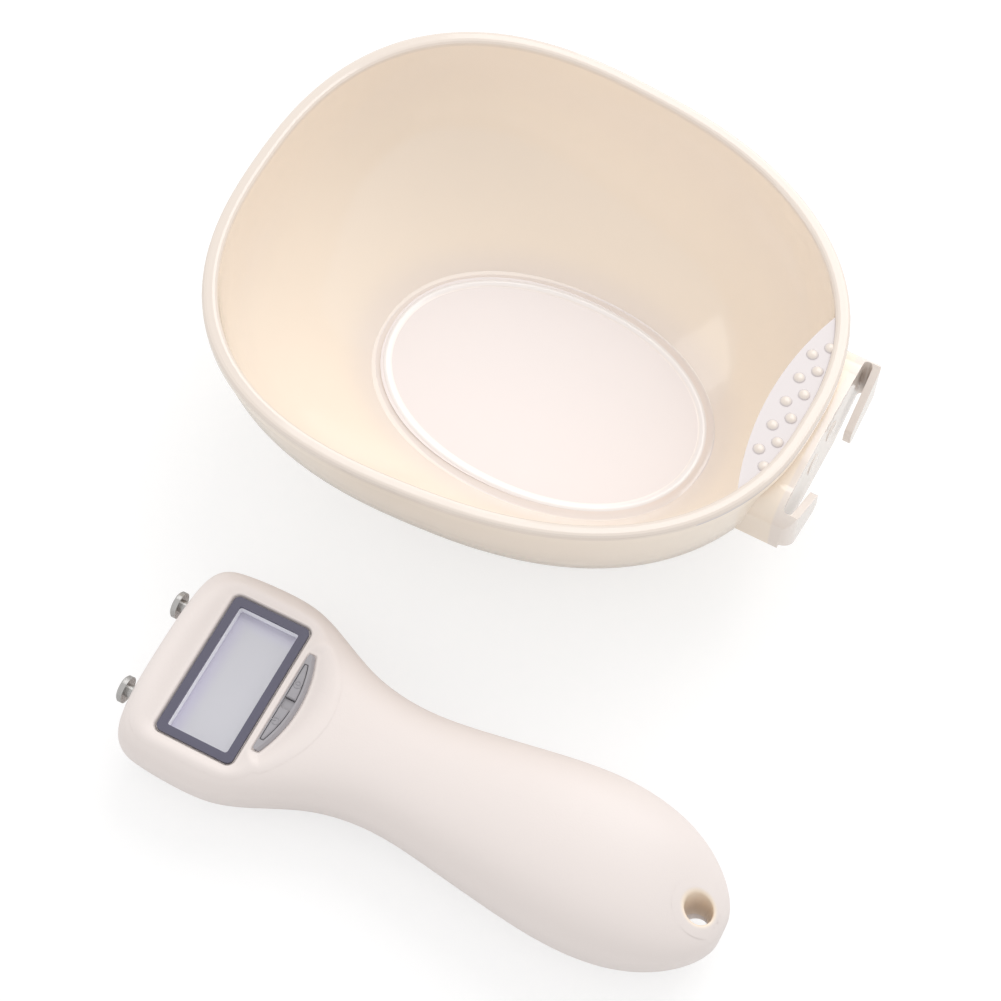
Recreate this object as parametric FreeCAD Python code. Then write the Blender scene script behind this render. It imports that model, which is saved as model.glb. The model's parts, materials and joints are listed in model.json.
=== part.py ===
import FreeCAD, Part
import math
import os
from FreeCAD import Vector

# A kitchen scoop with a scale in its handle, taken apart into its bowl and its handle.
# Millimetres. Origin: centre of the bowl's flat base. +X runs from the bowl's far end
# towards its hook bracket and from the handle's studs towards its tail. +Z is up.
# The handle lies beside the bowl, display up, with its long axis along X.

# Bowl
bowl_half_length = 59.4
bowl_half_width = 50.2
bowl_height = 42.3
bowl_wall = 2.0
bowl_floor = 2.0
bowl_end_drop = 22.5
bowl_side_drop = 24.2
bowl_base_shift = 3.4
bowl_rim_exponent = 2.42
bowl_base_exponent = 2.1
bowl_wall_exponent = 2.7
bowl_egg_share = 0.094
bead_height = 2.6
bead_out = 0.8
rim_round = 0.9
bowl_turn = -1.0
bowl_ring_points = 32
floor_step = 0.5
floor_step_inset = 1.8

# Thumb ledge inside the rim, next to the bracket
ledge_reach = 9.6
ledge_edge_radius = 60.8
ledge_below_rim = 1.0
ledge_edge_thickness = 1.8
ledge_depth = 15.5
ledge_root = 2.2
bump_radius = 1.2
bump_height = 0.5
bump_pitch = 5.65
bump_outer_from_edge = 5.7
bump_row_gap = 2.35
bump_sides = 14

# Hook bracket and the boss that it is screwed to
bracket_half_width = 19.9
bracket_seam_x = 60.0
bracket_top = 38.2
bracket_shoulder_drop = 0.9
bracket_shoulder_in = 6.4
bracket_corner_drop = 5.4
bracket_side_bottom = 25.0
bracket_bottom = 19.8
bracket_bottom_half_width = 8.0
plate_thickness = 1.7
hook_slot = 1.7
finger_thickness = 1.5
finger_tip_y = 7.3
finger_tip_low = 22.0
finger_tip_high = 27.2
finger_low_slope_share = 0.36
finger_high_slope_share = 0.8
finger_tip_round = 1.4
hook_end_wall = 1.8
hook_outer_radius = 2.5
boss_inward = 9.0
bracket_screw_y = 4.0
bracket_screw_z = 31.0
bracket_screw_radius = 1.0
bracket_screw_head_radius = 2.0
bracket_screw_head_height = 1.1
bracket_screw_length = 6.0

# Handle body
handle_front_x = -31.07
handle_axis_y = -88.23
handle_length = 115.4
handle_half_width = 21.1
handle_height = 26.0
handle_wall = 1.6
split_height = 7.4
bottom_fullness_share = 0.72

# Display pocket, frame and pane
display_centre = 15.5
frame_length = 16.0
frame_width = 30.0
frame_corner = 1.2
frame_thickness = 0.7
frame_border = 1.7
pane_thickness = 1.0
pane_lap = 0.3
pocket_floor = 18.6
pocket_depth_above = 4.0
pocket_margin = 0.8
pocket_front_slope = 3.5
pocket_side_slope = 0.8
pocket_front_bow = 1.0
frame_seat = 0.6
deck_thickness = 2.0

# Keys
crescent_front = 25.6
crescent_length = 21.0
crescent_rise = 3.55
crescent_radius = 25.1
crescent_corner = 0.4
crescent_clearance = 0.35
key_rim_arc = 1.0
key_rim_flat = 0.25
key_rim_tip = 2.15
key_rim_chamfer = 0.5
key_gap = 0.15
key_frame_gap = 0.05
key_top = 19.8
key_frame_top = 19.6
key_bridge_top = 19.0
key_bridge_half_width = 0.95
key_flange_reach = 0.7
key_flange_thickness = 0.9
key_flange_gap = 0.3
key_travel = 0.4
key_edge_chamfer = 0.2
key_seat = 1.0
seam_turn = 180.0

# Display parts and circuit board
lcd_length = 16.4
lcd_width = 27.8
lcd_thickness = 2.0
holder_wall = 0.7
holder_gap = 0.1
board_top = 13.4
board_thickness = 1.0
board_front = 6.6
board_step = 24.8
board_rear = 30.0
board_half_width = 17.2
board_tail_half_width = 14.4
zebra_width = 1.6
switch_side = 3.4
switch_y = 5.2
switch_height = 1.0
plunger_radius = 0.8
plunger_gap = 0.5
chip_radius = 3.6
chip_height = 0.8
chip_chamfer = 0.4
chip_from_front = 19.9
chip_y = 11.0
board_post_radius = 1.3
board_front_post = 9.6
board_front_post_y = 16.2
board_rear_post = 27.0
board_rear_post_y = 12.6
small_screw_radius = 0.7
small_screw_head_radius = 1.3
small_screw_head_height = 0.9
small_screw_bite = 3.0
screw_clearance = 0.1

# Load cell, its bracket and the studs
stud_spacing = 19.3
stud_height = 14.4
stud_head_radius = 2.65
stud_head_thickness = 1.2
stud_neck_radius = 1.25
stud_neck_length = 1.8
stud_thread_radius = 1.5
stud_hole_radius = 2.0
stud_head_chamfer = 0.3
angle_front = 2.4
angle_thickness = 3.0
angle_half_width = 11.9
angle_face_bottom = 5.0
angle_top = 16.4
angle_foot_length = 7.4
angle_foot_thickness = 2.0
beam_front = 6.0
beam_length = 29.0
beam_width = 12.0
beam_height = 6.0
beam_bottom = 5.4
beam_window_radius = 2.1
beam_window_from_ends = 9.6
beam_slot = 1.6
gauge_length = 5.0
gauge_width = 3.4
gauge_thickness = 0.15
beam_screw_radius = 1.4
beam_screw_head_radius = 2.4
beam_screw_head_height = 0.8
beam_screw_y = 3.4
beam_screw_bite = 3.0
beam_front_screw = 9.6
beam_rear_screw = 31.6
beam_boss_front = 28.0
beam_boss_rear = 35.4

# Shell screws
shell_post_radius = 1.9
shell_front_post = 4.4
shell_front_post_y = 14.6
shell_boss_radius = 2.5
shell_rear_post = 46.0
shell_screw_radius = 1.0
shell_screw_head_radius = 1.9
shell_screw_head_height = 1.2
shell_screw_bite = 6.0
shell_screw_seat = 5.6

# Batteries and their tray
cell_radius = 5.25
cell_length = 43.7
cell_nub_radius = 1.9
cell_nub_length = 0.8
cell_gap = 0.4
cell_axis_height = 12.6
spring_length = 1.5
spring_thickness = 0.25
spring_width = 3.0
spring_half_height = 3.0
tray_front = 57.2
tray_end_wall = 0.7
tray_skin = 0.9
tray_cell_clearance = 0.2
tray_half_width = 9.3
tray_low = 8.4
tray_saddle_low = 16.7
tray_screw_front = 70.0
tray_screw_rear = 92.0
tray_post_radius = 2.2
contact_thickness = 0.4
contact_side = 7.4
lead_radius = 0.5
lead_y = 8.4
lead_height = 8.0
lead_turn = 40.0
lead_end = 28.5
sense_lead_radius = 0.35
sense_lead_pitch = 1.0
sense_lead_count = 2
sense_lead_first = 25.4
sense_lead_height = 8.6
sense_lead_y = 8.0

# Battery cover and lanyard hole
cover_front = 56.0
cover_gap = 0.2
cover_slide_gap = 0.1
cover_travel = 12.0
tongue_y = 3.6
tongue_width = 3.6
tongue_thickness = 1.2
tongue_lift = 1.15
tongue_reach = 3.0
grip_rib_count = 4
grip_rib_pitch = 2.4
grip_rib_width = 1.2
grip_rib_depth = 0.4
grip_rib_length = 12.0
grip_first = 78.0
lanyard_from_front = 110.0
lanyard_radius = 2.7
lanyard_wall = 1.5

# One overrun for every cut
overrun = 1.0

# Height levels of the bowl's sections, as shares of its height
bowl_level_shares = (0.0, 0.04, 0.12, 0.25, 0.42, 0.64, 0.84, 1.0)

# Steps of the rim's rounding, as shares of a quarter turn
rim_step_shares = (0.0, 0.333, 0.667, 1.0)

# Rings of one bump on the thumb ledge, as shares of its radius and of its height
bump_ring_shares = ((1.0, 0.0), (0.82, 0.45), (0.52, 0.82), (0.2, 1.0))

# Stations of the handle: place along its length, half width, top, bottom and height of its
# widest line, as shares of the handle's length, of its largest half width, and of its height,
# then the fullness of its upper curve
station_shares = (
    (0.0000, 0.700, 0.715, 0.130, 0.486, 0.75),
    (0.0070, 0.835, 0.769, 0.058, 0.500, 0.75),
    (0.0210, 0.925, 0.800, 0.014, 0.514, 0.75),
    (0.0520, 0.975, 0.808, 0.000, 0.527, 0.75),
    (0.1190, 1.000, 0.808, 0.000, 0.527, 0.75),
    (0.1880, 0.972, 0.808, 0.000, 0.527, 0.75),
    (0.2570, 0.826, 0.815, 0.022, 0.531, 0.72),
    (0.3270, 0.660, 0.831, 0.060, 0.539, 0.68),
    (0.4310, 0.569, 0.862, 0.084, 0.550, 0.64),
    (0.5350, 0.621, 0.908, 0.046, 0.563, 0.64),
    (0.6390, 0.706, 0.970, 0.008, 0.585, 0.64),
    (0.7430, 0.770, 1.000, 0.000, 0.600, 0.64),
    (0.8290, 0.751, 0.962, 0.024, 0.586, 0.64),
    (0.8990, 0.648, 0.870, 0.092, 0.558, 0.64),
    (0.9500, 0.485, 0.746, 0.185, 0.522, 0.64),
    (0.9820, 0.306, 0.638, 0.270, 0.489, 0.64),
    (0.9970, 0.130, 0.530, 0.360, 0.465, 0.64),
)


def box(x0, x1, y0, y1, z0, z1):
    """Block between two corners."""
    return Part.makeBox(x1 - x0, y1 - y0, z1 - z0, Vector(x0, y0, z0))


def rod_x(x0, x1, y, z, radius):
    """Round bar along X."""
    return Part.makeCylinder(radius, x1 - x0, Vector(x0, y, z), Vector(1, 0, 0))


def rod_z(x, y, z0, z1, radius):
    """Round bar along Z."""
    return Part.makeCylinder(radius, z1 - z0, Vector(x, y, z0), Vector(0, 0, 1))


def along(station):
    """X of a place given as its distance from the handle's front face."""
    return handle_front_x + station


def across(offset):
    """Y of a place given as its distance from the handle's long axis."""
    return handle_axis_y + offset


def export(name, shape):
    """Write one named piece."""
    shape.exportStep("parts/" + name + ".step")
    print(name, len(shape.Solids), "solids", round(shape.Volume, 1), "mm3", shape.isValid())


def fuse_all(shapes):
    """One solid from several that touch or overlap."""
    joined = shapes[0]
    for shape in shapes[1:]:
        joined = joined.fuse(shape)
    return joined.removeSplitter()


# Bowl


def bowl_ring(height, inset, outset=0.0):
    """Closed outline of the bowl at a height: a superellipse, drawn in by the wall's curve."""
    drop_share = (1.0 - min(height, bowl_height) / bowl_height) ** bowl_wall_exponent
    half_length = bowl_half_length - bowl_end_drop * drop_share - inset + outset
    half_width = bowl_half_width - bowl_side_drop * drop_share - inset + outset
    rise_share = 1.0 - drop_share
    exponent = bowl_base_exponent + (bowl_rim_exponent - bowl_base_exponent) * rise_share
    egg = bowl_egg_share * rise_share
    shift = bowl_base_shift * drop_share
    points = []
    for index in range(bowl_ring_points):
        angle = 2.0 * math.pi * index / bowl_ring_points
        reach_x = abs(math.cos(angle) / half_length) ** exponent
        reach_y = abs(math.sin(angle) / half_width) ** exponent
        radius = (reach_x + reach_y) ** (-1.0 / exponent)
        x = radius * math.cos(angle)
        y = radius * math.sin(angle) * (1.0 - egg * x / half_length)
        points.append(Vector(x + shift, y, height))
    curve = Part.BSplineCurve()
    places = [float(index) for index in range(bowl_ring_points + 1)]
    curve.interpolate(Points=points, PeriodicFlag=True, Parameters=places)
    return Part.Wire(curve.toShape())


def bowl_wall_inset(height):
    """Level distance between the wall's faces, larger where the wall leans."""
    lean = bowl_wall_exponent * bowl_side_drop / bowl_height
    lean *= (1.0 - min(height, bowl_height) / bowl_height) ** (bowl_wall_exponent - 1.0)
    return bowl_wall * math.sqrt(1.0 + lean * lean)


def bowl_outer():
    """Solid with the bowl's outer surface, up to the rim's rounding."""
    top = bowl_height - rim_round
    rings = [bowl_ring(share * top, 0.0) for share in bowl_level_shares]
    return Part.makeLoft(rings, True, False)


def bowl_hollow():
    """Solid that fills the bowl's inside, from the floor to the rim's rounding."""
    top = bowl_height - rim_round
    levels = [bowl_floor + share * (top - bowl_floor) for share in bowl_level_shares]
    rings = [bowl_ring(level, bowl_wall_inset(level)) for level in levels]
    rings.append(bowl_ring(bowl_height + overrun, bowl_wall))
    return Part.makeLoft(rings, True, False)


def rim_rings(side_offset, direction, step_shares):
    """Outlines up the rim's rounding, on its outer or its inner side."""
    rings = []
    for share in step_shares:
        angle = share * math.pi / 2.0
        height = bowl_height - rim_round * (1.0 - math.sin(angle))
        drawn_in = rim_round * (1.0 - math.cos(angle))
        rings.append(bowl_ring(height, 0.0, side_offset - direction * drawn_in))
    return rings


def rim_bead():
    """Rolled bead round the rim, solid across the mouth."""
    flank = bowl_ring(bowl_height - bead_height, 0.0, bead_out)
    rings = rim_rings(bead_out, 1.0, rim_step_shares)
    return Part.makeLoft([flank] + rings, True, True)


def mouth_flare():
    """Cutter that rounds the rim's inner side. It starts a little inside the wall."""
    rings = rim_rings(-bowl_wall, -1.0, rim_step_shares[1:])
    first_rise = rim_round * math.sin(rim_step_shares[1] * math.pi / 2.0)
    first_out = rim_round * (1.0 - math.cos(rim_step_shares[1] * math.pi / 2.0))
    low = bowl_ring(bowl_height - rim_round - first_rise, 0.0, -bowl_wall - first_out)
    high = bowl_ring(bowl_height + overrun, 0.0, rim_round - bowl_wall)
    return Part.makeLoft([low] + rings + [high], True, True)


def bracket_outline(x):
    """Front outline of the bracket and its boss: crowned top, rounded corners, V below."""
    shoulder_y = bracket_half_width - bracket_shoulder_in
    shoulder_z = bracket_top - bracket_shoulder_drop
    corner_z = bracket_top - bracket_corner_drop
    turn = math.sqrt(0.5)
    middle_y = shoulder_y + bracket_shoulder_in * turn
    middle_z = corner_z + (shoulder_z - corner_z) * turn
    top = Part.Arc(Vector(x, -shoulder_y, shoulder_z), Vector(x, 0, bracket_top),
                   Vector(x, shoulder_y, shoulder_z))
    right = Part.Arc(Vector(x, shoulder_y, shoulder_z), Vector(x, middle_y, middle_z),
                     Vector(x, bracket_half_width, corner_z))
    left = Part.Arc(Vector(x, -bracket_half_width, corner_z), Vector(x, -middle_y, middle_z),
                    Vector(x, -shoulder_y, shoulder_z))
    low = [
        Vector(x, bracket_half_width, corner_z),
        Vector(x, bracket_half_width, bracket_side_bottom),
        Vector(x, bracket_bottom_half_width, bracket_bottom),
        Vector(x, -bracket_bottom_half_width, bracket_bottom),
        Vector(x, -bracket_half_width, bracket_side_bottom),
        Vector(x, -bracket_half_width, corner_z),
    ]
    edges = [top.toShape(), right.toShape()]
    edges += [Part.makeLine(low[index], low[index + 1]) for index in range(len(low) - 1)]
    edges.append(left.toShape())
    return Part.Wire(edges)


def bracket_prism(x0, x1):
    """The bracket's front outline made solid between two planes across X."""
    return Part.Face(bracket_outline(x0)).extrude(Vector(x1 - x0, 0, 0))


def bump(x, y, z):
    """Low dome on the thumb ledge, in a few rings of short sides."""
    rings = []
    for radius_share, rise_share in bump_ring_shares:
        corners = []
        for index in range(bump_sides):
            angle = 2.0 * math.pi * index / bump_sides
            corners.append(Vector(x + radius_share * bump_radius * math.cos(angle),
                                  y + radius_share * bump_radius * math.sin(angle),
                                  z + rise_share * bump_height))
        rings.append(Part.makePolygon(corners + corners[:1]))
    return Part.makeLoft(rings, True, True)


def ledge(outer):
    """Thumb ledge: a lens inside the rim, level on top and sloped below, with its bumps."""
    top = bowl_height - ledge_below_rim
    edge_x = bowl_half_length - ledge_reach
    low = top - ledge_depth
    root_x = bowl_half_length - ledge_root
    corners = [
        Vector(edge_x - overrun, -bowl_half_width, top),
        Vector(bowl_half_length + overrun, -bowl_half_width, top),
        Vector(bowl_half_length + overrun, -bowl_half_width, low),
        Vector(root_x, -bowl_half_width, low),
        Vector(edge_x, -bowl_half_width, top - ledge_edge_thickness),
        Vector(edge_x - overrun, -bowl_half_width, top - ledge_edge_thickness),
    ]
    section = Part.Face(Part.makePolygon(corners + corners[:1]))
    wedge = section.extrude(Vector(0, 2.0 * bowl_half_width, 0))
    lens = rod_z(edge_x + ledge_edge_radius, 0, low - overrun, top + overrun, ledge_edge_radius)
    body = wedge.common(lens).common(outer)
    outer_row_x = edge_x + bump_outer_from_edge
    rows = (
        (outer_row_x, (-2.5, -1.5, -0.5, 0.5, 1.5, 2.5)),
        (outer_row_x - bump_row_gap, (-2.0, -1.0, 0.0, 1.0, 2.0)),
    )
    for row_x, place_shares in rows:
        for place in place_shares:
            body = body.fuse(bump(row_x, place * bump_pitch, top))
    return body


def bracket_screw(y):
    """Countersunk screw from the bracket's slot into the boss."""
    face_x = bracket_seam_x + plate_thickness
    shank = rod_x(face_x - bracket_screw_length, face_x, y, bracket_screw_z,
                  bracket_screw_radius)
    head = Part.makeCone(bracket_screw_radius, bracket_screw_head_radius,
                         bracket_screw_head_height,
                         Vector(face_x - bracket_screw_head_height, y, bracket_screw_z),
                         Vector(1, 0, 0))
    return shank.fuse(head).removeSplitter()


def bowl():
    """Bowl with rim bead, step floor, bracket boss and thumb ledge, moulded in one."""
    outer = bowl_outer()
    hollow = bowl_hollow()
    tub = outer.fuse(rim_bead()).cut(hollow).cut(mouth_flare())
    step_ring = bowl_ring(bowl_floor, bowl_wall_inset(bowl_floor) + floor_step_inset)
    step = Part.Face(step_ring).extrude(Vector(0, 0, floor_step))
    boss = bracket_prism(bracket_seam_x - boss_inward, bracket_seam_x).cut(hollow)
    boss = boss.common(box(bracket_seam_x - boss_inward, bracket_seam_x,
                           -bowl_half_width, bowl_half_width, 0.0, bowl_height - bead_height))
    solid = tub.fuse(step).fuse(boss).fuse(ledge(outer))
    for side in (-1.0, 1.0):
        pilot_start = bracket_seam_x + plate_thickness - bracket_screw_length
        pilot = rod_x(pilot_start, bracket_seam_x + overrun, side * bracket_screw_y,
                      bracket_screw_z, bracket_screw_radius)
        solid = solid.cut(pilot)
    return solid


def hook_plan(z0, z1):
    """Plan form of the bracket: plate, end walls and fingers round a slot open in the middle."""
    plate_face = bracket_seam_x + plate_thickness
    finger_back = plate_face + hook_slot
    front = finger_back + finger_thickness
    block = box(bracket_seam_x, front, -bracket_half_width, bracket_half_width, z0, z1)
    corners = [edge for edge in block.Edges
               if abs(edge.BoundBox.ZLength - (z1 - z0)) < overrun / 100.0
               and edge.BoundBox.XMin > plate_face]
    block = block.makeFillet(hook_outer_radius, corners)
    slot_half = bracket_half_width - hook_end_wall - hook_slot / 2.0
    slot = box(plate_face, finger_back, -slot_half, slot_half, z0, z1)
    for side in (-1.0, 1.0):
        end = rod_z(plate_face + hook_slot / 2.0, side * slot_half, z0, z1, hook_slot / 2.0)
        slot = slot.fuse(end)
    mouth = box(plate_face, front + overrun, -finger_tip_y, finger_tip_y, z0, z1)
    return block.cut(slot).cut(mouth)


def hook_bracket():
    """Plate with a finger folded round each end. Their sloped lower edges make a V."""
    plate_face = bracket_seam_x + plate_thickness
    front = plate_face + hook_slot + finger_thickness
    outline = bracket_prism(bracket_seam_x, front)
    body = hook_plan(bracket_bottom, bracket_top).common(outline)
    cut_x = plate_face + hook_slot / 2.0
    span_x = Vector(front + overrun - cut_x, 0, 0)
    inner_y = finger_tip_y - overrun
    outer_y = bracket_half_width + overrun
    reach = bracket_half_width - finger_tip_y + overrun
    for side in (-1.0, 1.0):
        low_edge = [
            Vector(cut_x, side * inner_y, finger_tip_low - finger_low_slope_share * overrun),
            Vector(cut_x, side * outer_y, finger_tip_low + finger_low_slope_share * reach),
        ]
        high_edge = [
            Vector(cut_x, side * inner_y, finger_tip_high - finger_high_slope_share * overrun),
            Vector(cut_x, side * outer_y, finger_tip_high + finger_high_slope_share * reach),
        ]
        below = low_edge + [Vector(cut_x, side * outer_y, bracket_bottom - overrun),
                            Vector(cut_x, side * inner_y, bracket_bottom - overrun)]
        above = high_edge + [Vector(cut_x, side * outer_y, finger_tip_high + bracket_top),
                             Vector(cut_x, side * inner_y, finger_tip_high + bracket_top)]
        for corners in (below, above):
            face = Part.Face(Part.makePolygon(corners + corners[:1]))
            body = body.cut(face.extrude(span_x))
    tips = [edge for edge in body.Edges
            if abs(edge.BoundBox.YLength) < overrun / 100.0
            and abs(edge.BoundBox.ZLength) < overrun / 100.0
            and abs(abs(edge.BoundBox.YMin) - finger_tip_y) < overrun / 100.0
            and edge.BoundBox.XMin > cut_x]
    body = body.makeFillet(finger_tip_round, tips)
    for side in (-1.0, 1.0):
        body = body.cut(bracket_screw(side * bracket_screw_y))
    return body.removeSplitter()


def turned(shape):
    """The bowl's pieces lie turned by a small angle to the handle's long axis."""
    shape.rotate(Vector(0, 0, 0), Vector(0, 0, 1), bowl_turn)
    return shape


# Handle


def handle_section(station, half_width, top, bottom, side, full_top):
    """Closed outline across the handle: four quarter curves that meet at its widest line."""
    x = along(station)
    up = top - side
    down = side - bottom

    def point(y, z):
        return Vector(x, across(y), z)

    def quarter(poles):
        curve = Part.BezierCurve()
        curve.setPoles(poles)
        return curve.toShape()

    full_low = bottom_fullness_share
    right_side, crown = point(half_width, side), point(0.0, top)
    left_side, keel = point(-half_width, side), point(0.0, bottom)
    edges = [
        quarter([right_side, point(half_width, side + full_top * up),
                 point(full_top * half_width, top), crown]),
        quarter([crown, point(-full_top * half_width, top),
                 point(-half_width, side + full_top * up), left_side]),
        quarter([left_side, point(-half_width, side - full_low * down),
                 point(-full_low * half_width, bottom), keel]),
        quarter([keel, point(full_low * half_width, bottom),
                 point(half_width, side - full_low * down), right_side]),
    ]
    return Part.Wire(edges)


def stations():
    """The handle's stations as real sizes."""
    rows = []
    for place, width, top, bottom, side, full_top in station_shares:
        rows.append((place * handle_length, width * handle_half_width, top * handle_height,
                     bottom * handle_height, side * handle_height, full_top))
    return rows


def handle_outer():
    """Solid with the handle's outer surface."""
    return Part.makeLoft([handle_section(*row) for row in stations()], True, False)


def handle_hollow():
    """Solid that fills the handle's inside, one wall thickness in from its outside."""
    rows = []
    for station, half_width, top, bottom, side, full_top in stations():
        if station < handle_wall or half_width < 3.0 * handle_wall:
            continue
        rows.append((station, half_width - handle_wall, top - handle_wall,
                     bottom + handle_wall, side, full_top))
    front = list(rows[0])
    front[0] = handle_wall
    return Part.makeLoft([handle_section(*row) for row in [front] + rows], True, True)


def floor_height(station):
    """Height of the inside floor of the handle at a station."""
    rows = stations()
    for low, high in zip(rows, rows[1:]):
        if low[0] <= station <= high[0]:
            part_share = (station - low[0]) / (high[0] - low[0])
            return low[3] + part_share * (high[3] - low[3]) + handle_wall
    return handle_wall


def crescent_centre():
    """Station of the centre of the key pad's arc."""
    return crescent_front + crescent_rise - crescent_radius


def crescent_plan(arc_inset, flat_inset, tip_inset, z0, z1):
    """Key pad's crescent between two heights, drawn in at its arc, straight edge and tips."""
    half = crescent_length / 2.0 - tip_inset
    centre = Vector(along(crescent_centre()), across(0.0), z0)
    disc = rod_z(centre.x, centre.y, z0, z1, crescent_radius - arc_inset)
    disc.rotate(centre, Vector(0, 0, 1), seam_turn)
    return disc.common(box(along(crescent_front + flat_inset),
                           along(crescent_front + crescent_rise + overrun),
                           across(-half), across(half), z0, z1))


def crescent_block(inset, z0, z1):
    """Key frame's outer form, with rounded corners."""
    block = crescent_plan(inset, inset, inset, z0, z1)
    uprights = [edge for edge in block.Edges
                if abs(edge.BoundBox.ZLength - (z1 - z0)) < overrun / 100.0]
    return block.makeFillet(crescent_corner, uprights)


def key_opening(gap, z0, z1):
    """Opening for both keys inside the frame, drawn in by a gap."""
    return crescent_plan(key_rim_arc + gap, key_rim_flat + gap, key_rim_tip + gap, z0, z1)


def rounded_plan(length, width, corner, z0, z1):
    """Block round the display's centre with rounded upright corners."""
    block = box(along(display_centre - length / 2.0), along(display_centre + length / 2.0),
                across(-width / 2.0), across(width / 2.0), z0, z1)
    uprights = [edge for edge in block.Edges
                if abs(edge.BoundBox.ZLength - (z1 - z0)) < overrun / 100.0]
    return block.makeFillet(corner, uprights)


def pocket_wire(front_out, side_out, z):
    """Outline of the display pocket: bowed front, straight sides, round rear by the keys."""
    half = frame_width / 2.0 + pocket_margin + side_out
    front = display_centre - frame_length / 2.0 - pocket_margin - front_out
    rear = display_centre + frame_length / 2.0 + pocket_margin + side_out
    tip = crescent_length / 2.0 + crescent_clearance + side_out
    radius = crescent_radius + crescent_clearance + side_out
    tip_rear = crescent_centre() + math.sqrt(radius ** 2 - tip ** 2)

    def point(station, y):
        return Vector(along(station), across(y), z)

    corners = [point(front, half), point(rear, half), point(rear, tip), point(tip_rear, tip)]
    mirrored = [point(tip_rear, -tip), point(rear, -tip), point(rear, -half),
                point(front, -half)]
    edges = [Part.Arc(mirrored[-1], point(front - pocket_front_bow, 0.0),
                      corners[0]).toShape()]
    edges += [Part.makeLine(low, high) for low, high in zip(corners, corners[1:])]
    edges.append(Part.Arc(corners[-1], point(crescent_centre() + radius, 0.0),
                          mirrored[0]).toShape())
    edges += [Part.makeLine(low, high) for low, high in zip(mirrored, mirrored[1:])]
    return Part.Wire(edges)


def pocket_cutter():
    """Frustum that sinks the display pocket into the domed head, with a long front slope."""
    low = pocket_wire(0.0, 0.0, pocket_floor)
    high = pocket_wire(pocket_front_slope, pocket_side_slope,
                       pocket_floor + pocket_depth_above)
    return Part.makeLoft([low, high], True, True)


def deck_block():
    """Floor of the pocket, which the display and the keys sit in."""
    low = pocket_floor - deck_thickness
    wire = pocket_wire(pocket_front_slope, handle_wall, low)
    return Part.Face(wire).extrude(Vector(0, 0, deck_thickness + pocket_depth_above))


def screw_up(x, y, seat, shank_radius, head_radius, head_height, length):
    """Screw with its head below a seat and its shank upwards."""
    head = rod_z(x, y, seat - head_height, seat, head_radius)
    return head.fuse(rod_z(x, y, seat, seat + length, shank_radius)).removeSplitter()


def screw_down(x, y, seat, shank_radius, head_radius, head_height, length):
    """Screw with its head above a seat and its shank downwards."""
    head = rod_z(x, y, seat, seat + head_height, head_radius)
    return head.fuse(rod_z(x, y, seat - length, seat, shank_radius)).removeSplitter()


def board_screw_places():
    """The circuit board's four screws."""
    places = []
    for side in (-1.0, 1.0):
        places.append((along(board_front_post), across(side * board_front_post_y)))
        places.append((along(board_rear_post), across(side * board_rear_post_y)))
    return places


def shell_screw_places():
    """The three screws that hold the shells together."""
    return [
        (along(shell_front_post), across(-shell_front_post_y)),
        (along(shell_front_post), across(shell_front_post_y)),
        (along(shell_rear_post), across(0.0)),
    ]


def tray_top():
    """Height of the battery tray's flat back."""
    return cell_axis_height + cell_radius + tray_cell_clearance + tray_skin


def tray_screw_places():
    """The two screws that hold the tray under the top shell."""
    return [(along(tray_screw_front), across(0.0)), (along(tray_screw_rear), across(0.0))]


def top_shell(outer, hollow):
    """Upper moulding of the handle, from the studs to the tail."""
    high = handle_height + overrun
    upper = box(along(-overrun), along(handle_length + overrun), across(-handle_half_width
                - overrun), across(handle_half_width + overrun), split_height, high)
    shell = outer.cut(hollow).common(upper)
    extras = [deck_block()]
    board_under = board_top
    for x, y in board_screw_places():
        extras.append(rod_z(x, y, board_under, high, board_post_radius))
    for x, y in shell_screw_places():
        extras.append(rod_z(x, y, split_height, high, shell_post_radius))
    for x, y in tray_screw_places():
        extras.append(rod_z(x, y, tray_top(), high, tray_post_radius))
    tube = rod_z(along(lanyard_from_front), across(0.0), split_height, high,
                 lanyard_radius + lanyard_wall)
    extras.append(tube)
    for extra in extras:
        shell = shell.fuse(extra.common(outer))
    shell = shell.cut(pocket_cutter())
    seat_z = pocket_floor - frame_seat
    shell = shell.cut(rounded_plan(frame_length, frame_width, frame_corner, seat_z, high))
    pane_length = frame_length - 2.0 * (frame_border - pane_lap)
    pane_width = frame_width - 2.0 * (frame_border - pane_lap)
    low = pocket_floor - deck_thickness - overrun
    shell = shell.cut(rounded_plan(pane_length, pane_width, frame_corner / 2.0, low, high))
    shell = shell.cut(crescent_block(0.0, pocket_floor - key_seat, high))
    shell = shell.cut(key_opening(0.0, low, high))
    for x, y in board_screw_places():
        shell = shell.cut(rod_z(x, y, board_top, board_top + small_screw_bite,
                                small_screw_radius))
    for x, y in shell_screw_places():
        shell = shell.cut(rod_z(x, y, split_height, split_height + shell_screw_bite,
                                shell_screw_radius))
    for x, y in tray_screw_places():
        shell = shell.cut(rod_z(x, y, tray_top(), tray_top() + small_screw_bite,
                                small_screw_radius))
    for side in (-1.0, 1.0):
        shell = shell.cut(rod_x(along(-overrun), along(angle_front), across(side * stud_spacing
                          / 2.0), stud_height, stud_hole_radius))
    hole = rod_z(along(lanyard_from_front), across(0.0), split_height - overrun, high,
                 lanyard_radius)
    return shell.cut(hole).removeSplitter()


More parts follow.
